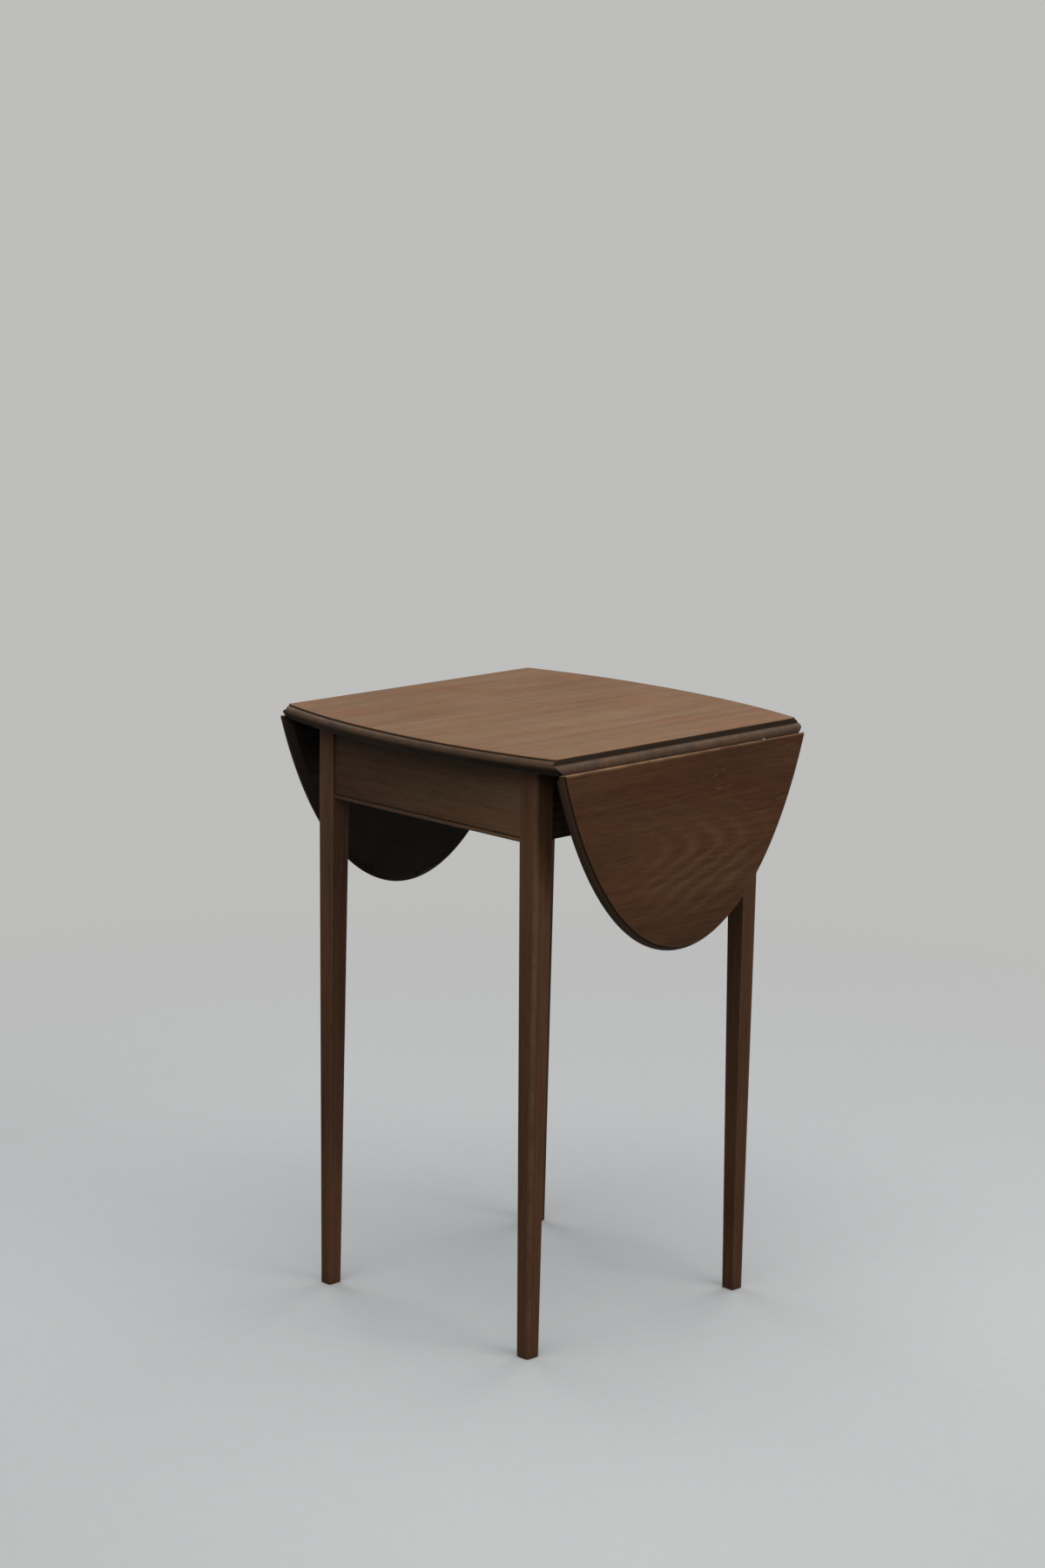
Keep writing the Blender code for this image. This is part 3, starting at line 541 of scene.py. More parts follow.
def leg_mesh(name, sign_x, sign_y):
    """A leg: square sections with rounded corners, level by level, tapered from the rails to the foot.

    Each corner is a quarter round between two points a rub's width along the faces; the outer corner's is larger.
    """
    foot_round = LEG_ARRIS * (1 - np.cos(np.linspace(0, pi / 2, ARRIS_STEPS + 1)))
    tapered = np.linspace(LEG_FIRST_LEVEL, RAIL_BOTTOM, LEG_LEVELS + 1)
    height = np.concatenate([foot_round, tapered, [RAIL_TOP - LEG_ARRIS, RAIL_TOP]])
    taper = np.clip(1 - height / RAIL_BOTTOM, 0, 1)
    inset = FOOT_INSET * taper
    size = LEG_SIZE + (FOOT_SIZE - LEG_SIZE) * taper
    left = np.clip(LEG_ARRIS - height, 0, LEG_ARRIS)
    ease = LEG_ARRIS - np.sqrt(LEG_ARRIS ** 2 - left ** 2)
    low = inset + ease
    high = inset + size - ease
    turn = np.linspace(0, pi / 2, ROUND_STEPS + 1)
    ring_u, ring_v, edges = [], [], []
    corners = (
        (low, low, 1, 1, LEG_CORNER_ROUND, pi),
        (high, low, -1, 1, LEG_ARRIS, 1.5 * pi),
        (high, high, -1, -1, LEG_ARRIS, 0.0),
        (low, high, 1, -1, LEG_ARRIS, 0.5 * pi),
    )
    for corner_u, corner_v, in_u, in_v, radius, first in corners:
        angle = first + turn
        round_u = corner_u[:, None] + in_u * radius + radius * np.cos(angle)
        round_v = corner_v[:, None] + in_v * radius + radius * np.sin(angle)
        back_u, back_v = LEG_RUB_WIDTH * sin(first), -LEG_RUB_WIDTH * cos(first)
        on_u, on_v = -LEG_RUB_WIDTH * sin(first + pi / 2), LEG_RUB_WIDTH * cos(first + pi / 2)
        ring_u += [round_u[:, :1] + back_u, round_u, round_u[:, -1:] + on_u]
        ring_v += [round_v[:, :1] + back_v, round_v, round_v[:, -1:] + on_v]
        edges += [[0.0], np.ones(len(turn)), [0.0]]
    u = np.concatenate(ring_u, axis=1)
    v = np.concatenate(ring_v, axis=1)
    z = np.broadcast_to(height[:, None], u.shape)
    rings = np.stack([sign_x * (LEG_X - u), sign_y * (LEG_Y - v), z], axis=-1)
    edge = np.concatenate(edges)
    wear = np.stack([edge, np.zeros_like(edge)], axis=-1)
    return mesh_of(name, [(rings, True, wear)], [(rings[0], wear), (rings[-1], wear)])


def run_mesh(name, outline, wear, turn):
    """An outline of (y, z) points carried along X between the legs, in a few even steps."""
    steps = np.linspace(-RAIL_HALF, RAIL_HALF, RAIL_STEPS + 1)
    outline = np.array(outline)
    grid = np.empty((len(steps), len(outline), 3))
    grid[..., 0] = steps[:, None]
    grid[..., 1] = outline[:, 0]
    grid[..., 2] = outline[:, 1]
    if turn:
        grid[..., :2] *= -1
    return mesh_of(name, [(grid, True, wear)], [(grid[0], wear), (grid[-1], wear)])


def rail_outline():
    """End rail: flat face, eased lower arris over the bead's quirk, rabbet, bottom, back and top."""
    quirk = RAIL_BOTTOM + BEAD_HEIGHT + SEAT_GAP
    turn = np.linspace(0, pi / 2, ARRIS_STEPS + 1)
    eased = np.stack([-RAIL_FACE + ARRIS * (1 - np.cos(turn)), quirk + ARRIS * (1 - np.sin(turn))], axis=1)
    rabbet = -RAIL_FACE + BEAD_TONGUE + SEAT_GAP
    outline = np.concatenate([
        [(-RAIL_FACE, RAIL_TOP)],
        [(-RAIL_FACE, quirk + ARRIS + DIRT_FADE), (-RAIL_FACE, quirk + ARRIS + DIRT_START)],
        eased,
        [(rabbet, quirk), (rabbet, RAIL_BOTTOM), (-RAIL_BACK, RAIL_BOTTOM), (-RAIL_BACK, RAIL_TOP)],
    ])
    # Dust and grime in the quirk, the rabbet and the bottom, also painted shade there.
    dirt_and_shade = np.concatenate([[0, 0, QUIRK_DUST_AND_SHADE], np.linspace(*QUIRK_GRIME_AND_SHADE, len(eased)), [1, 1, 0, 0]])
    return outline, np.stack([np.zeros_like(dirt_and_shade), dirt_and_shade], axis=-1)


def bead_outline():
    """Bead: half an ellipse proud of the rail's face on a flat tongue."""
    turn = np.linspace(0, pi, 2 * ROUND_STEPS + 1)
    nose = np.stack([
        -RAIL_FACE - BEAD_PROUD * np.sin(turn),
        RAIL_BOTTOM + BEAD_HEIGHT * (1 - np.cos(turn)) / 2,
    ], axis=1)
    back = -RAIL_FACE + BEAD_TONGUE
    outline = np.concatenate([[(back, RAIL_BOTTOM + BEAD_HEIGHT), (back, RAIL_BOTTOM)], nose])
    edge = np.concatenate([[0, 0], np.sin(turn)])
    # The tongue and the bead's lower side take grime, also painted shade under the bead.
    dirt_and_shade = np.concatenate([[1, 1], np.clip((turn - BEAD_GRIME_AND_SHADE_START) / (pi - BEAD_GRIME_AND_SHADE_START), 0, 1)])
    return outline, np.stack([edge, dirt_and_shade], axis=-1)


# Nodes

NUMBER = "NodeSocketFloat"
PLACE = "NodeSocketVector"
COLOUR = "NodeSocketColor"


def add_node(tree, kind, **settings):
    made = tree.nodes.new(kind)
    for setting, value in settings.items():
        setattr(made, setting, value)
    return made


def feed(tree, socket, value):
    """Gives an input a fixed value or the output of another node."""
    if isinstance(value, bpy.types.NodeSocket):
        tree.links.new(value, socket)
    else:
        socket.default_value = value


def calculate(tree, operation, first, second=0.0, third=0.0, clamp=False):
    made = add_node(tree, "ShaderNodeMath", operation=operation, use_clamp=clamp)
    for socket, value in zip(made.inputs, (first, second, third)):
        feed(tree, socket, value)
    return made.outputs[0]


def vector_step(tree, operation, first, second):
    made = add_node(tree, "ShaderNodeVectorMath", operation=operation)
    feed(tree, made.inputs[0], first)
    feed(tree, made.inputs[1], second)
    return made.outputs["Vector"]


def length_of(tree, vector):
    made = add_node(tree, "ShaderNodeVectorMath", operation="LENGTH")
    feed(tree, made.inputs[0], vector)
    return made.outputs["Value"]


def distance_along(tree, place, direction):
    made = add_node(tree, "ShaderNodeVectorMath", operation="DOT_PRODUCT")
    feed(tree, made.inputs[0], place)
    feed(tree, made.inputs[1], direction)
    return made.outputs["Value"]


def mapped(tree, place, turn, shift=(0.0, 0.0, 0.0)):
    made = add_node(tree, "ShaderNodeMapping")
    made.inputs["Rotation"].default_value = turn
    made.inputs["Location"].default_value = shift
    feed(tree, made.inputs["Vector"], place)
    return made.outputs["Vector"]


def attribute(tree, name):
    return add_node(tree, "ShaderNodeAttribute", attribute_name=name).outputs["Fac"]


def opaque(colour):
    return (*colour, 1.0)


def cloud(tree, vector, patches, detail=2.0, roughness=0.5, colour=False):
    """Noise over a stretched space, with a number of patches to a metre along each axis."""
    made = add_node(tree, "ShaderNodeTexNoise")
    feed(tree, made.inputs["Vector"], vector_step(tree, "MULTIPLY", vector, patches))
    made.inputs["Scale"].default_value = 1.0
    made.inputs["Detail"].default_value = detail
    made.inputs["Roughness"].default_value = roughness
    return made.outputs["Color" if colour else "Fac"]


def spread(tree, value, low, high, out_low=0.0, out_high=1.0, kind="SMOOTHSTEP"):
    """One value up to the low limit, another from the high limit on, and eased or even steps between them."""
    made = add_node(tree, "ShaderNodeMapRange", interpolation_type=kind)
    for name, given in (("From Min", low), ("From Max", high), ("To Min", out_low), ("To Max", out_high)):
        feed(tree, made.inputs[name], given)
    feed(tree, made.inputs["Value"], value)
    return made.outputs["Result"]


def blend_colour(tree, share, first, second, kind="MIX"):
    made = add_node(tree, "ShaderNodeMix", data_type="RGBA", blend_type=kind)
    feed(tree, made.inputs[0], share)
    feed(tree, made.inputs[6], first)
    feed(tree, made.inputs[7], second)
    return made.outputs[2]


def new_group(name, inputs, outputs):
    tree = bpy.data.node_groups.new(name, "ShaderNodeTree")
    for label, kind, value in inputs:
        socket = tree.interface.new_socket(label, in_out="INPUT", socket_type=kind)
        if value is not None:
            socket.default_value = value
    for label, kind in outputs:
        tree.interface.new_socket(label, in_out="OUTPUT", socket_type=kind)
    given = tree.nodes.new("NodeGroupInput").outputs
    wanted = tree.nodes.new("NodeGroupOutput").inputs
    return tree, given, wanted


def use_group(tree, group, **values):
    made = add_node(tree, "ShaderNodeGroup")
    made.node_tree = group
    for label, value in values.items():
        feed(tree, made.inputs[label], value)
    return made.outputs


def wood_grain_group():
    """Wood sawn from a log: rings about its heart, and grain that runs along X.

    Rings are sines of the distance from the X axis of the heart's own space, bent by slow noise; with a taper they
    grow along X too, which draws pointed arches on a flat board. Ribbons, lines, fibres and pores are noise drawn
    out along X, and patches and blush are slow noise.
    """
    tree, given, wanted = new_group(
        "wood_grain",
        [("Vector", PLACE, None), ("Heart", PLACE, None),
         ("Ring Spacing", NUMBER, 0.008), ("Wander", NUMBER, 0.012), ("Taper", NUMBER, 0.0), ("Uneven", NUMBER, 2.0),
         ("Rings", NUMBER, 0.3), ("Ribbons", NUMBER, 0.4), ("Lines", NUMBER, 0.4), ("Fibres", NUMBER, 0.4),
         ("Patches", NUMBER, 0.4)],
        [("Tone", NUMBER), ("Blush", NUMBER), ("Fibre", NUMBER), ("Pores", NUMBER)],
    )
    place = given["Vector"]
    bend = vector_step(tree, "SUBTRACT", cloud(tree, place, BEND_PATCHES, colour=True), (0.5, 0.5, 0.5))
    scaled = add_node(tree, "ShaderNodeVectorMath", operation="SCALE")
    feed(tree, scaled.inputs[0], bend)
    feed(tree, scaled.inputs["Scale"], given["Wander"])
    bent = vector_step(tree, "ADD", place, scaled.outputs["Vector"])
    heart = vector_step(tree, "ADD", given["Heart"], scaled.outputs["Vector"])
    from_heart = length_of(tree, vector_step(tree, "MULTIPLY", heart, (0.0, 1.0, 1.0)))
    along = add_node(tree, "ShaderNodeSeparateXYZ")
    feed(tree, along.inputs[0], heart)
    radius = calculate(tree, "MULTIPLY_ADD", along.outputs["X"], given["Taper"], from_heart)
    turns = calculate(tree, "DIVIDE", radius, given["Ring Spacing"])
    turns = calculate(tree, "MULTIPLY_ADD", cloud(tree, heart, RING_PATCHES), given["Uneven"], turns)
    ring = calculate(tree, "SINE", calculate(tree, "MULTIPLY", turns, 2 * pi))
    ring = calculate(tree, "POWER", calculate(tree, "MULTIPLY_ADD", ring, 0.5, 0.5), RING_POWER)
    fibre = cloud(tree, bent, FIBRE_PATCHES, roughness=0.6)
    parts = (
        (cloud(tree, bent, RIBBON_PATCHES), "Ribbons"), (cloud(tree, bent, LINE_PATCHES), "Lines"),
        (fibre, "Fibres"), (cloud(tree, place, TONE_PATCHES, detail=3.0), "Patches"),
    )
    tone = calculate(tree, "MULTIPLY", calculate(tree, "SUBTRACT", ring, RING_MIDDLE), given["Rings"])
    for value, amount in parts:
        tone = calculate(tree, "MULTIPLY_ADD", calculate(tree, "SUBTRACT", value, 0.5), given[amount], tone)
    feed(tree, wanted["Tone"], calculate(tree, "ADD", tone, 0.5))
    blush = cloud(tree, bent, BLUSH_PATCHES, detail=3.0, roughness=0.6)
    feed(tree, wanted["Blush"], spread(tree, blush, *BLUSH_LIMITS))
    feed(tree, wanted["Fibre"], fibre)
    pore = cloud(tree, place, PORE_PATCHES, detail=1.0)
    feed(tree, wanted["Pores"], spread(tree, pore, *PORE_LIMITS))
    return tree


def drift_group():
    """A slow change along a direction: one value before the start, another after the end, eased between them."""
    tree, given, wanted = new_group(
        "drift",
        [("Vector", PLACE, None), ("Direction", PLACE, UPWARD), ("Start", NUMBER, 0.0), ("End", NUMBER, 1.0),
         ("Before", NUMBER, 0.0), ("After", NUMBER, 1.0)],
        [("Value", NUMBER)],
    )
    along = distance_along(tree, given["Vector"], given["Direction"])
    limits = (given[label] for label in ("Start", "End", "Before", "After"))
    feed(tree, wanted["Value"], spread(tree, along, *limits))
    return tree


def rubbed_edge_and_highlight_group():
    """Where hands have rubbed an arris, and on the leaf's lip also a painted highlight: its nearness, broken up by
    noise.
    """
    tree, given, wanted = new_group(
        "rubbed_edge_and_highlight",
        [("Edge", NUMBER, 0.0), ("Vector", PLACE, None), ("Amount", NUMBER, RUB_SHARE)],
        [("Mask", NUMBER)],
    )
    patch = cloud(tree, given["Vector"], RUB_PATCHES, detail=3.0, roughness=0.65)
    near = calculate(tree, "POWER", given["Edge"], RUB_POWER)
    mask = calculate(tree, "MULTIPLY", near, spread(tree, patch, *RUB_LIMITS))
    feed(tree, wanted["Mask"], calculate(tree, "MULTIPLY", mask, given["Amount"], clamp=True))
    return tree


def dirt_and_shade_group():
    """Dust, grime and painted shade over a colour: dirt_and_shade up to a half is dust, and from there grime, which in
    creases, coves and under edges is painted shade; noise breaks them up.
    """
    tree, given, wanted = new_group(
        "dust_grime_and_shade",
        [("Color", COLOUR, None), ("Vector", PLACE, None), ("Dirt", NUMBER, 0.0), ("Dust", COLOUR, opaque(DUST))],
        [("Color", COLOUR), ("Grime", NUMBER)],
    )
    uneven = cloud(tree, given["Vector"], DIRT_PATCHES, detail=3.0, roughness=0.6)
    dust_share = spread(tree, given["Dirt"], 0.0, 0.5)
    dusty = calculate(tree, "MULTIPLY", dust_share, spread(tree, uneven, *DUST_LIMITS))
    grime_and_shade_share = spread(tree, given["Dirt"], 0.5, 1.0)
    grime_and_shade_mask = calculate(tree, "MULTIPLY", grime_and_shade_share, spread(tree, uneven, *GRIME_AND_SHADE_LIMITS))
    colour = blend_colour(tree, dusty, given["Color"], given["Dust"])
    feed(tree, wanted["Color"], blend_colour(tree, grime_and_shade_mask, colour, opaque(GRIME_AND_SHADE)))
    feed(tree, wanted["Grime"], grime_and_shade_mask)
    return tree


def marks_group():
    """Scratches and small knocks: thin bands of noise drawn out near X on two slants, kept in a few places."""
    tree, given, wanted = new_group(
        "marks", [("Vector", PLACE, None)], [("Scratches", NUMBER), ("Dents", NUMBER)],
    )
    lines = []
    for slant in SCRATCH_SLANTS:
        slanted = mapped(tree, given["Vector"], (slant, slant * SCRATCH_TIP, slant))
        lines.append(spread(tree, cloud(tree, slanted, SCRATCH_PATCHES, detail=0.0), *SCRATCH_LIMITS))
    scratched = spread(tree, cloud(tree, given["Vector"], SCRATCHED_PATCHES, detail=1.0), *SCRATCHED_LIMITS)
    both = calculate(tree, "MAXIMUM", *lines)
    feed(tree, wanted["Scratches"], calculate(tree, "MULTIPLY", both, scratched))
    spots = add_node(tree, "ShaderNodeTexVoronoi")
    spots.inputs["Scale"].default_value = DENT_PATCHES
    feed(tree, spots.inputs["Vector"], given["Vector"])
    feed(tree, wanted["Dents"], spread(tree, spots.outputs["Distance"], *DENT_LIMITS))
    return tree


def raw_wood_group():
    """Raw wood, dull and dirty, over a colour: from dark to pale by tone, with grime in its pores."""
    tree, given, wanted = new_group(
        "raw_wood",
        [("Color", COLOUR, None), ("Mask", NUMBER, 0.0), ("Tone", NUMBER, 0.5), ("Pores", NUMBER, 0.0),
         ("Dark", COLOUR, None), ("Pale", COLOUR, None)],
        [("Color", COLOUR)],
    )
    sawn = blend_colour(tree, spread(tree, given["Tone"], *RAW_LIMITS), given["Dark"], given["Pale"])
    in_pores = calculate(tree, "MULTIPLY", given["Pores"], RAW_PORE_SHARE)
    sawn = blend_colour(tree, in_pores, sawn, opaque(GRIME_AND_SHADE))
    feed(tree, wanted["Color"], blend_colour(tree, given["Mask"], given["Color"], sawn))
    return tree


def old_wax_group():
    """Old wax: a cloudy gloss, dull in pores and under grime and painted shade, over a fine relief of fibres, pores and
    dents.
    """
    tree, given, wanted = new_group(
        "old_wax",
        [("Vector", PLACE, None), ("Roughness", NUMBER, 0.5), ("Pores", NUMBER, 0.0), ("Grime", NUMBER, 0.0),
         ("Fibre", NUMBER, 0.0), ("Dents", NUMBER, 0.0)],
        [("Roughness", NUMBER), ("Height", NUMBER)],
    )
    cloudy = spread(tree, cloud(tree, given["Vector"], WAX_PATCHES, detail=3.0), *WAX_LIMITS, kind="LINEAR")
    rough = calculate(tree, "ADD", given["Roughness"], cloudy)
    rough = calculate(tree, "MULTIPLY_ADD", given["Pores"], PORE_DULLING, rough)
    rough = calculate(tree, "MULTIPLY_ADD", given["Grime"], GRIME_DULLING, rough, clamp=True)
    feed(tree, wanted["Roughness"], rough)
    height = calculate(tree, "MULTIPLY", given["Pores"], PORE_RELIEF)
    height = calculate(tree, "MULTIPLY_ADD", given["Fibre"], FIBRE_RELIEF, height)
    height = calculate(tree, "MULTIPLY_ADD", given["Dents"], DENT_RELIEF, height)
    feed(tree, wanted["Height"], height)
    return tree


def tarnish_group():
    """Old metal: cloudy patches over fine spots."""
    tree, given, wanted = new_group(
        "tarnish", [("Vector", PLACE, None)], [("Patches", NUMBER), ("Spots", NUMBER)],
    )
    slow = cloud(tree, given["Vector"], TARNISH_PATCHES, detail=4.0, roughness=0.6)
    fine = cloud(tree, given["Vector"], SPOT_PATCHES)
    feed(tree, wanted["Patches"], spread(tree, slow, *TARNISH_LIMITS))
    feed(tree, wanted["Spots"], spread(tree, fine, *SPOT_LIMITS))
    return tree


WOOD_GRAIN = wood_grain_group()
DRIFT = drift_group()
RUBBED_EDGE_AND_HIGHLIGHT = rubbed_edge_and_highlight_group()
DIRT_AND_SHADE = dirt_and_shade_group()
MARKS = marks_group()
RAW_WOOD = raw_wood_group()
OLD_WAX = old_wax_group()
TARNISH = tarnish_group()


# Finishes

def new_material(name):
    material = bpy.data.materials.new(name)
    material.use_nodes = True
    tree = material.node_tree
    shader = tree.nodes["Principled BSDF"]
    place = add_node(tree, "ShaderNodeTexCoord").outputs["Object"]
    return material, tree, shader, place


def tone_ramp(tree, tone, stops):
    """Colours by tone, from stops of (tone, colour)."""
    ramp = add_node(tree, "ShaderNodeValToRGB")
    feed(tree, ramp.inputs["Fac"], tone)
    elements = ramp.color_ramp.elements
    while len(elements) < len(stops):
        elements.new(0.5)
    for element, (position, colour) in zip(elements, stops):
        element.position = position
        element.color = opaque(colour)
    return ramp.outputs["Color"]


def figure_share(tree, place, figure, rings):
    """How strongly the rings show about the middle of a figure, and how far the tone is lifted there."""
    middle, reach, lift = figure
    away = vector_step(tree, "SUBTRACT", place, middle)
    gap = length_of(tree, vector_step(tree, "MULTIPLY", away, FIGURE_STRETCH))
    shown = spread(tree, gap, reach * FIGURE_CORE, reach, rings, rings * FIGURE_REST)
    return shown, spread(tree, gap, reach * FIGURE_CORE, reach * FIGURE_HALO, lift, -lift)


def drift_value(tree, place, drift):
    direction, start, end, before, after = drift
    drifted = use_group(
        tree, DRIFT, Vector=place, Direction=direction, Start=start, End=end, Before=before, After=after,
    )
    return drifted["Value"]


def streak_lift(tree, place, streak):
    """How far the tone is lifted along one pale line, which fades out towards both ends."""
    direction, distance, half, first, last = streak
    aside = calculate(tree, "SUBTRACT", distance_along(tree, place, direction), distance)
    pale = spread(tree, calculate(tree, "ABSOLUTE", aside), 0.0, half, STREAK_LIFT, 0.0)
    along = distance_along(tree, place, LENGTHWAYS)
    starting = spread(tree, along, first, first + STREAK_FADE)
    ending = spread(tree, along, last - STREAK_FADE, last, 1.0, 0.0)
    return calculate(tree, "MULTIPLY", calculate(tree, "MULTIPLY", pale, starting), ending)


def add_raw(tree, place, colour, tone, pores, raw):
    """The colour with raw wood nearer to the table's middle than a distance in one direction."""
    direction, reach, dark, pale = raw
    depth = calculate(tree, "ABSOLUTE", distance_along(tree, place, direction))
    hidden = spread(tree, depth, reach - RAW_BORDER, reach + RAW_BORDER, RAW_SHARE, 0.0, kind="LINEAR")
    sawn = use_group(
        tree, RAW_WOOD, Color=colour, Mask=hidden, Tone=tone, Pores=pores, Dark=opaque(dark), Pale=opaque(pale),
    )
    return sawn["Color"]


def wood_material(name, turn, heart_turn, heart, stops, rubbed, roughness, rings=0.25, grain=None, figure=None,
                  drift=None, streak=None, ruddy_bounce=None, raw=None, dust=DUST):
    """Waxed wood: its grain lies along X after the turn, and its log's heart after the heart's turn and shift.

    Stops are the colours by tone, rubbed is the colour of worn places, and grain gives strengths to the wood's grain.
    A figure is (middle, reach, lift) of the place where the rings show and the tone is lifted. A drift of the tone,
    and ruddy_bounce, which is one of the blush, are (direction, start, end, value before, value after); on the legs the
    drift paints light on their upper parts and ruddy_bounce paints warm bounce light from the floor towards the feet,
    and on the rails the drift darkens the left end and the top, where it paints shade under the top's overhang. A
    streak is (direction, distance, half width, length from, length to along Y) of one pale line. Raw wood is
    (direction, distance, dark colour, pale colour); on the leaf its dark colours are also painted shade.
    """
    material, tree, shader, place = new_material(name)
    lifted = 0.0
    if figure:
        rings, lifted = figure_share(tree, place, figure, rings)
    along_grain = mapped(tree, place, turn)
    in_log = mapped(tree, place, heart_turn, heart)
    wood = use_group(tree, WOOD_GRAIN, Vector=along_grain, Heart=in_log, Rings=rings, **(grain or {}))
    tone = calculate(tree, "ADD", wood["Tone"], lifted)
    if drift:
        tone = calculate(tree, "ADD", tone, drift_value(tree, place, drift))
    if streak:
        tone = calculate(tree, "ADD", tone, streak_lift(tree, place, streak))
    blush = wood["Blush"]
    if ruddy_bounce:
        blush = calculate(tree, "MAXIMUM", blush, drift_value(tree, place, ruddy_bounce))
    colour = blend_colour(tree, blush, tone_ramp(tree, tone, stops), opaque(BLUSH), kind="MULTIPLY")
    in_pores = calculate(tree, "MULTIPLY", wood["Pores"], PORE_SHARE)
    colour = blend_colour(tree, in_pores, colour, opaque(PORE))
    # Rubbed arrises, and the painted highlight on the leaf's lip.
    worn = use_group(tree, RUBBED_EDGE_AND_HIGHLIGHT, Edge=attribute(tree, "edge"), Vector=place)
    colour = blend_colour(tree, worn["Mask"], colour, opaque(rubbed))
    # Dust and grime over the colour, and painted shade in creases, coves and under edges.
    dirt_and_shade = attribute(tree, "dirt_and_shade")
    dirty = use_group(tree, DIRT_AND_SHADE, Color=colour, Vector=place, Dirt=dirt_and_shade, Dust=opaque(dust))
    marks = use_group(tree, MARKS, Vector=along_grain)
    scratch_share = spread(tree, dirt_and_shade, 0.0, SCRATCH_DIRT, SCRATCH_SHARE, 0.0)
    scratched = calculate(tree, "MULTIPLY", marks["Scratches"], scratch_share)
    colour = blend_colour(tree, scratched, dirty["Color"], opaque(rubbed))
    if raw:
        colour = add_raw(tree, place, colour, tone, wood["Pores"], raw)
    feed(tree, shader.inputs["Base Color"], colour)
    wax = use_group(
        tree, OLD_WAX, Vector=place, Roughness=roughness, Pores=wood["Pores"], Grime=dirty["Grime"],
        Fibre=wood["Fibre"], Dents=marks["Dents"],
    )
    feed(tree, shader.inputs["Roughness"], wax["Roughness"])
    shader.inputs["Specular IOR Level"].default_value = WAX_SHINE
    bump = add_node(tree, "ShaderNodeBump")
    bump.inputs["Strength"].default_value = RELIEF_STRENGTH
    bump.inputs["Distance"].default_value = RELIEF_DEPTH
    feed(tree, bump.inputs["Height"], wax["Height"])
    feed(tree, shader.inputs["Normal"], bump.outputs["Normal"])
    return material


def metal_material(name, bright, dull, spots, roughness):
    """Old metal: bright or dull by its tarnish, rougher where dull, with dark spots."""
    material, tree, shader, place = new_material(name)
    old = use_group(tree, TARNISH, Vector=place)
    colour = blend_colour(tree, old["Patches"], opaque(bright), opaque(dull))
    spotted = calculate(tree, "MULTIPLY", old["Spots"], METAL_SPOT_SHARE)
    feed(tree, shader.inputs["Base Color"], blend_colour(tree, spotted, colour, opaque(spots)))
    shader.inputs["Metallic"].default_value = 1.0
    rough = spread(tree, old["Patches"], 0.0, 1.0, roughness, roughness + METAL_DULLING, kind="LINEAR")
    feed(tree, shader.inputs["Roughness"], rough)
    return material


TOP_WOOD = wood_material(
    "top_mahogany_wood", ALONG_Y, (0.03, 0.0, -pi / 2 + 0.05), (0.0, 0.06, -0.62),
    [(0.22, (0.110, 0.054, 0.023)), (0.50, (0.170, 0.090, 0.041)), (0.80, (0.218, 0.124, 0.061))],
    rubbed=(0.230, 0.135, 0.072), roughness=0.50, rings=0.10,
    grain={"Ring Spacing": 0.016, "Ribbons": 0.30, "Lines": 0.32, "Patches": 0.45},
    streak=((1.0, -0.033, 0.0), 0.1217, 0.0016, -0.21, 0.07),
    raw=(UPWARD, 0.6825, (0.056, 0.036, 0.023), (0.135, 0.088, 0.055)),
)
# The leaf's colours are darker and redder than the top's, partly for a top faded paler and partly as painted shade on
# the hanging leaves.
LEAF_WOOD = wood_material(
    "leaf_mahogany_wood", ALONG_Y, ALONG_Y, (0.0, 0.2575, -0.5825),
    [(0.20, (0.065, 0.026, 0.011)), (0.50, (0.109, 0.047, 0.021)), (0.82, (0.168, 0.080, 0.037))],
    rubbed=(0.250, 0.135, 0.068), roughness=0.52, rings=0.24,
    grain={"Ring Spacing": 0.0165, "Taper": 0.38, "Uneven": 1.6, "Ribbons": 0.2, "Lines": 0.5, "Fibres": 0.5,
           "Patches": 0.4},
    figure=((0.2355, 0.03, 0.553), 0.10, 0.10), drift=(UPWARD, 0.46, 0.54, -0.20, 0.0),
    # The leaf's inner face is raw wood, its dark colours darker still as painted shade under the top.
    raw=(ACROSS, 0.2181, (0.014, 0.012, 0.010), (0.052, 0.042, 0.034)), dust=(0.058, 0.034, 0.022),
)
LEG_WOOD = wood_material(
    "leg_mahogany_wood", ALONG_Z, ALONG_Z, (0.0, 0.9, 0.35),
    [(0.20, (0.078, 0.034, 0.015)), (0.50, (0.132, 0.062, 0.030)), (0.82, (0.185, 0.092, 0.046))],
    rubbed=(0.205, 0.110, 0.058), roughness=0.52, rings=0.08,
    grain={"Ring Spacing": 0.009, "Ribbons": 0.25, "Lines": 0.4, "Fibres": 0.5, "Patches": 0.8},
    # The tone is lifted towards the rails as painted light on the upper legs, and the blush grows towards the feet as
    # painted warm bounce light from the floor.
    drift=(UPWARD, 0.47, 0.60, 0.0, 0.17), ruddy_bounce=(UPWARD, 0.05, 0.45, 1.0, 0.0),
)
RAIL_WOOD = wood_material(
    "rail_mahogany_wood", ALONG_X, ALONG_X, (0.0, 0.5, -0.9),
    [(0.20, (0.078, 0.043, 0.024)), (0.50, (0.140, 0.075, 0.038)), (0.82, (0.204, 0.114, 0.058))],
    rubbed=(0.205, 0.110, 0.058), roughness=0.54, rings=0.08,
    grain={"Ring Spacing": 0.009, "Ribbons": 0.2, "Lines": 0.3, "Fibres": 0.5, "Patches": 0.7},
    # The tone is darker towards the left end and towards the top; the darkening at the top is painted shade under the
    # top's overhang.
    drift=((1.0, 0.0, -0.5), -0.50, -0.16, -0.26, 0.32),
)
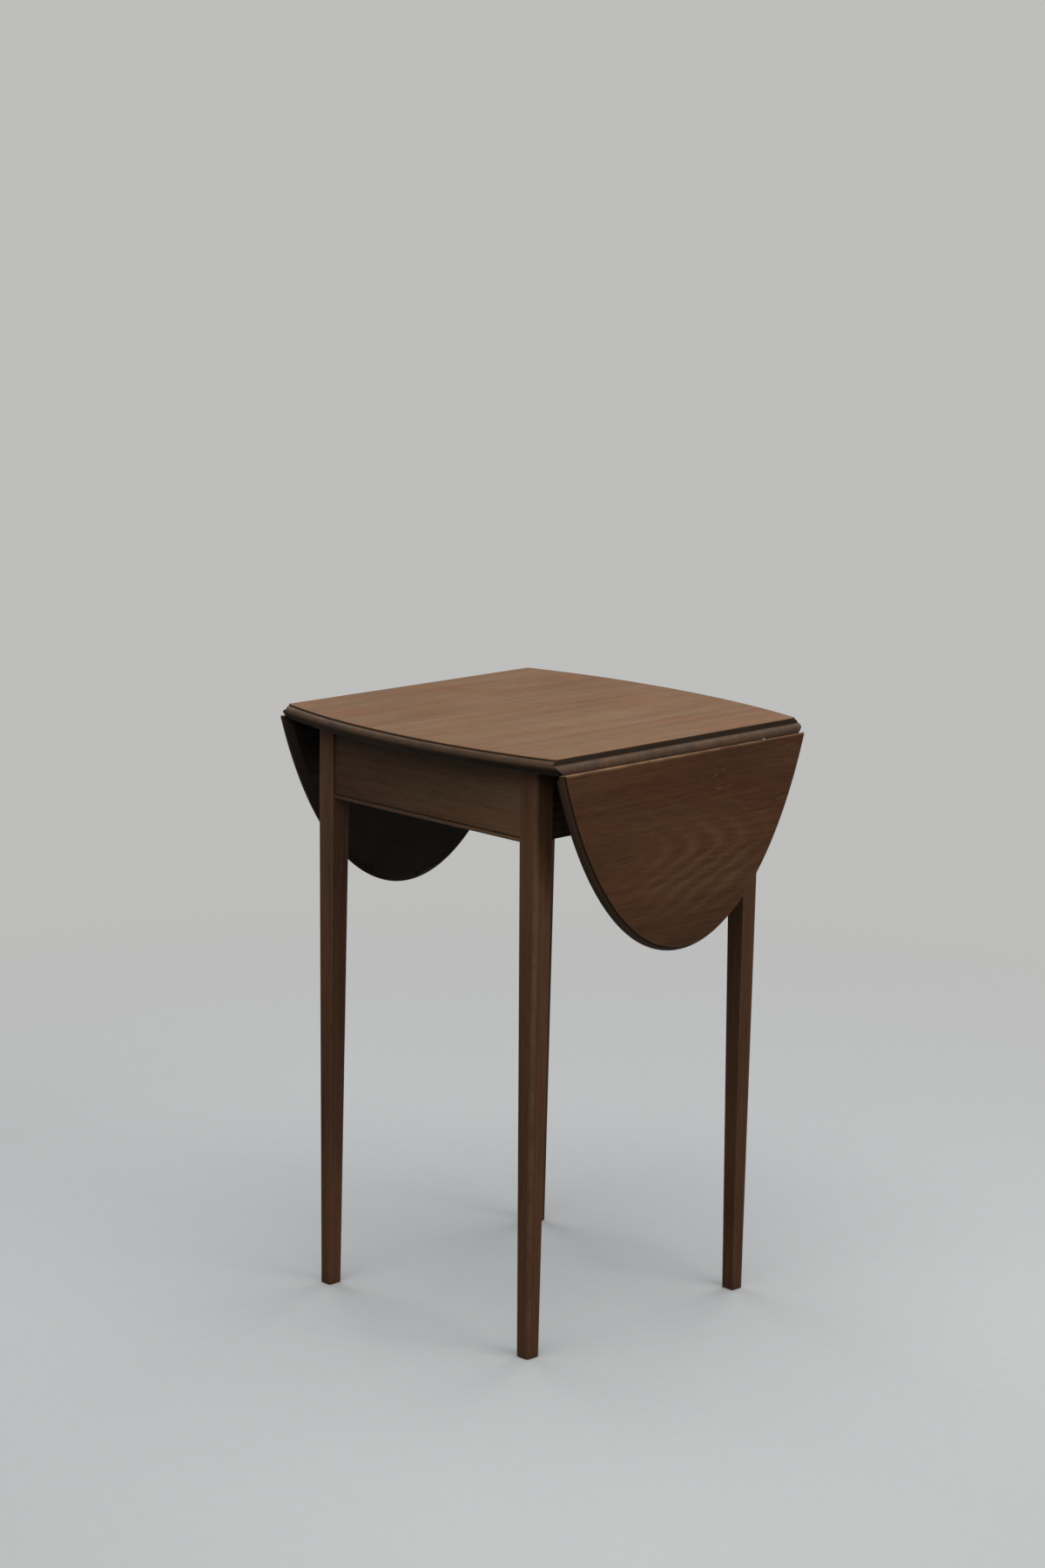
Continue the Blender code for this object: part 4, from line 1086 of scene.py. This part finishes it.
BRACKET_WOOD = wood_material(
    "bracket_mahogany_wood", ALONG_Y, ALONG_Y, (0.0, 0.7, -0.3),
    [(0.20, (0.085, 0.040, 0.021)), (0.50, (0.145, 0.073, 0.040)), (0.82, (0.195, 0.104, 0.059))],
    rubbed=(0.205, 0.115, 0.066), roughness=0.60, rings=0.3,
)
# Pine darkened below its own colour, as painted shade beside the hanging leaves.
SIDE_RAIL_WOOD_IN_SHADE = wood_material(
    "side_rail_pine_wood_painted_dark", ALONG_Y, ALONG_Y, (0.0, 0.3, -0.5),
    [(0.20, (0.060, 0.038, 0.022)), (0.50, (0.104, 0.069, 0.040)), (0.82, (0.150, 0.103, 0.062))],
    rubbed=(0.150, 0.105, 0.065), roughness=0.70, grain={"Ring Spacing": 0.006},
)
BLOCK_WOOD = wood_material(
    "block_pine_wood", ALONG_X, ALONG_X, (0.0, 0.2, -0.4),
    [(0.20, (0.200, 0.112, 0.054)), (0.50, (0.310, 0.192, 0.100)), (0.82, (0.390, 0.262, 0.146))],
    rubbed=(0.390, 0.265, 0.155), roughness=0.72, rings=0.6, grain={"Ring Spacing": 0.005},
)
BRASS = metal_material(
    "hinge_old_brass", (0.520, 0.370, 0.150), (0.290, 0.190, 0.080), (0.060, 0.045, 0.025), roughness=0.34,
)
STEEL = metal_material(
    "screw_old_steel", (0.330, 0.315, 0.290), (0.190, 0.170, 0.145), (0.060, 0.040, 0.028), roughness=0.38,
)


# Pieces

add_piece("centre_top_board", centre_top_mesh(), TOP_WOOD, "table_frame", "centre_top")
for side_name, side in (("left", -1), ("right", 1)):
    add_piece(
        f"{side_name}_leaf_board", leaf_mesh(f"{side_name}_leaf_board", side), LEAF_WOOD,
        f"{side_name}_leaf_body", f"{side_name}_leaf",
    )
    for end_name, end in (("front", -1), ("back", 1)):
        corner = f"{end_name}_{side_name}"
        add_piece(
            f"{corner}_tapered_leg", leg_mesh(f"{corner}_tapered_leg", side, end), LEG_WOOD,
            "table_frame", f"{corner}_leg",
        )
for end_name, turn in (("front", False), ("back", True)):
    add_piece(
        f"{end_name}_end_rail", run_mesh(f"{end_name}_end_rail", *rail_outline(), turn), RAIL_WOOD,
        "table_frame", f"{end_name}_rail",
    )
    add_piece(
        f"{end_name}_cock_bead", run_mesh(f"{end_name}_cock_bead", *bead_outline(), turn), RAIL_WOOD,
        "table_frame", f"{end_name}_bead",
    )

KEPT_FINISHES = (
    ("_fly_bracket", BRACKET_WOOD), ("_fly_block", BRACKET_WOOD),
    ("_glue_block", BLOCK_WOOD), ("_rail", SIDE_RAIL_WOOD_IN_SHADE),
    ("_hinge_plate", BRASS), ("_hinge_flap", BRASS), ("_hinge_pin", STEEL), ("_fly_pin", STEEL),
    ("_screw", STEEL), ("_screw_a", STEEL), ("_screw_b", STEEL),
)
REPLACED = ("front_rail", "back_rail")
for node_name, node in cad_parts.items():
    for ending, finish in KEPT_FINISHES:
        if node_name.endswith(ending) and node_name not in REPLACED:
            node.material_slots[0].material = finish


# Floor, light and camera

def floor_mesh():
    """A level disc: rings of points by radius and angle about the origin."""
    radius = np.concatenate([[0.0], np.geomspace(*FLOOR_REACH, FLOOR_RINGS)])
    angle = np.linspace(0, 2 * pi, FLOOR_SPOKES + 1)[:-1]
    grid = np.zeros((len(radius), len(angle), 3))
    grid[..., 0] = radius[:, None] * np.cos(angle)
    grid[..., 1] = radius[:, None] * np.sin(angle)
    grid[..., 2] = -FLOOR_GAP
    mesh = mesh_of("floor", [(grid, True, 0.0)])
    if mesh.polygons[0].normal.z < 0:
        mesh.flip_normals()
    return mesh


def seen_share(tree):
    """1 for what the camera sees, straight or in a gloss or through glass, and 0 for light that bounces."""
    path = add_node(tree, "ShaderNodeLightPath").outputs
    seen = calculate(tree, "MAXIMUM", path["Is Camera Ray"], path["Is Glossy Ray"])
    return calculate(tree, "MAXIMUM", seen, path["Is Transmission Ray"])


def floor_material():
    """Pale near the table, where it takes the table's shadow, and as bright as the background further off.

    From below it is clear, so that the underside of the table can be seen.
    """
    material, tree, shader, place = new_material("pale_floor")
    seen = seen_share(tree)
    speckle = cloud(tree, place, FLOOR_PATCHES, detail=3.0)
    pale = blend_colour(tree, speckle, *(opaque(shade) for shade in FLOOR_PALE))
    feed(tree, shader.inputs["Base Color"], blend_colour(tree, seen, opaque(FLOOR_BOUNCE), pale))
    shader.inputs["Roughness"].default_value = FLOOR_ROUGHNESS
    shader.inputs["Specular IOR Level"].default_value = FLOOR_SHINE
    fade = spread(tree, length_of(tree, place), *FLOOR_FADE)
    glow = add_node(tree, "ShaderNodeEmission")
    glow.inputs["Color"].default_value = opaque(BACKGROUND * share for share in BACKGROUND_TINT)
    glow_share = spread(tree, seen, 0.0, 1.0, FLOOR_GLOW_BOUNCE, 1.0, kind="LINEAR")
    feed(tree, glow.inputs["Strength"], glow_share)
    both = add_node(tree, "ShaderNodeMixShader")
    feed(tree, both.inputs[0], fade)
    feed(tree, both.inputs[1], shader.outputs["BSDF"])
    feed(tree, both.inputs[2], glow.outputs["Emission"])
    sided = add_node(tree, "ShaderNodeMixShader")
    feed(tree, sided.inputs[0], add_node(tree, "ShaderNodeNewGeometry").outputs["Backfacing"])
    feed(tree, sided.inputs[1], both.outputs["Shader"])
    feed(tree, sided.inputs[2], add_node(tree, "ShaderNodeBsdfTransparent").outputs["BSDF"])
    feed(tree, tree.nodes["Material Output"].inputs["Surface"], sided.outputs["Shader"])
    return material


floor = bpy.data.objects.new("floor", floor_mesh())
floor.data.materials.append(floor_material())
bpy.context.scene.collection.objects.link(floor)

world = bpy.data.worlds.new("pale_room")
world.use_nodes = True
bpy.context.scene.world = world
sky = world.node_tree.nodes["Background"]
sky_seen = seen_share(world.node_tree)
sky_colour = blend_colour(world.node_tree, sky_seen, opaque(AMBIENT_TINT), opaque(BACKGROUND_TINT))
sky_strength = spread(world.node_tree, sky_seen, 0.0, 1.0, AMBIENT, BACKGROUND, kind="LINEAR")
feed(world.node_tree, sky.inputs["Color"], sky_colour)
feed(world.node_tree, sky.inputs["Strength"], sky_strength)


def add_lamp(name, place, aim, size, power):
    """A square soft lamp at a place, turned to where it aims."""
    lamp = bpy.data.lights.new(name, "AREA")
    lamp.shape = "SQUARE"
    lamp.size = size
    lamp.energy = power
    obj = bpy.data.objects.new(name, lamp)
    obj.location = place
    obj.rotation_euler = (Vector(aim) - Vector(place)).to_track_quat("-Z", "Y").to_euler()
    bpy.context.scene.collection.objects.link(obj)


def round_table(azimuth, distance, height):
    """A place about the table: degrees from its front to its right, distance from its middle, height over the floor."""
    turn = radians(azimuth)
    return (distance * sin(turn), -distance * cos(turn), height)


add_lamp("overhead_lamp", (0.15, 0.1, 2.7), (0.0, 0.0, 0.4), size=2.4, power=28.3)
add_lamp("front_lamp", round_table(26, 1.8, 2.6), TABLE_MIDDLE, size=2.6, power=31.0)
add_lamp("right_lamp", round_table(98, 2.4, 2.1), TABLE_MIDDLE, size=1.6, power=23.0)
add_lamp("back_lamp", round_table(188, 2.4, 2.1), TABLE_MIDDLE, size=1.6, power=18.0)
add_lamp("left_lamp", round_table(264, 2.4, 2.1), TABLE_MIDDLE, size=1.6, power=18.0)

back = Vector((sin(VIEW_AZIMUTH) * cos(VIEW_PITCH), -cos(VIEW_AZIMUTH) * cos(VIEW_PITCH), sin(VIEW_PITCH)))
level_right = Vector((cos(VIEW_AZIMUTH), sin(VIEW_AZIMUTH), 0.0))
level_up = back.cross(level_right)
right = cos(VIEW_ROLL) * level_right + sin(VIEW_ROLL) * level_up
up = cos(VIEW_ROLL) * level_up - sin(VIEW_ROLL) * level_right
place = VIEW_DISTANCE * back + Vector((0, 0, VIEW_CENTRE_HEIGHT)) + VIEW_ACROSS * right + VIEW_UP * up
camera = bpy.data.objects.new("camera", bpy.data.cameras.new("camera"))
camera.data.sensor_fit = "VERTICAL"
camera.data.sensor_height = SENSOR
camera.data.lens = FOCAL_PIXELS * SENSOR / IMAGE_HEIGHT
camera.data.clip_end = VIEW_REACH
camera.matrix_world = Matrix.Translation(place) @ Matrix((right, up, back)).transposed().to_4x4()
bpy.context.scene.collection.objects.link(camera)
bpy.context.scene.camera = camera
bpy.context.scene.view_settings.view_transform = "Standard"
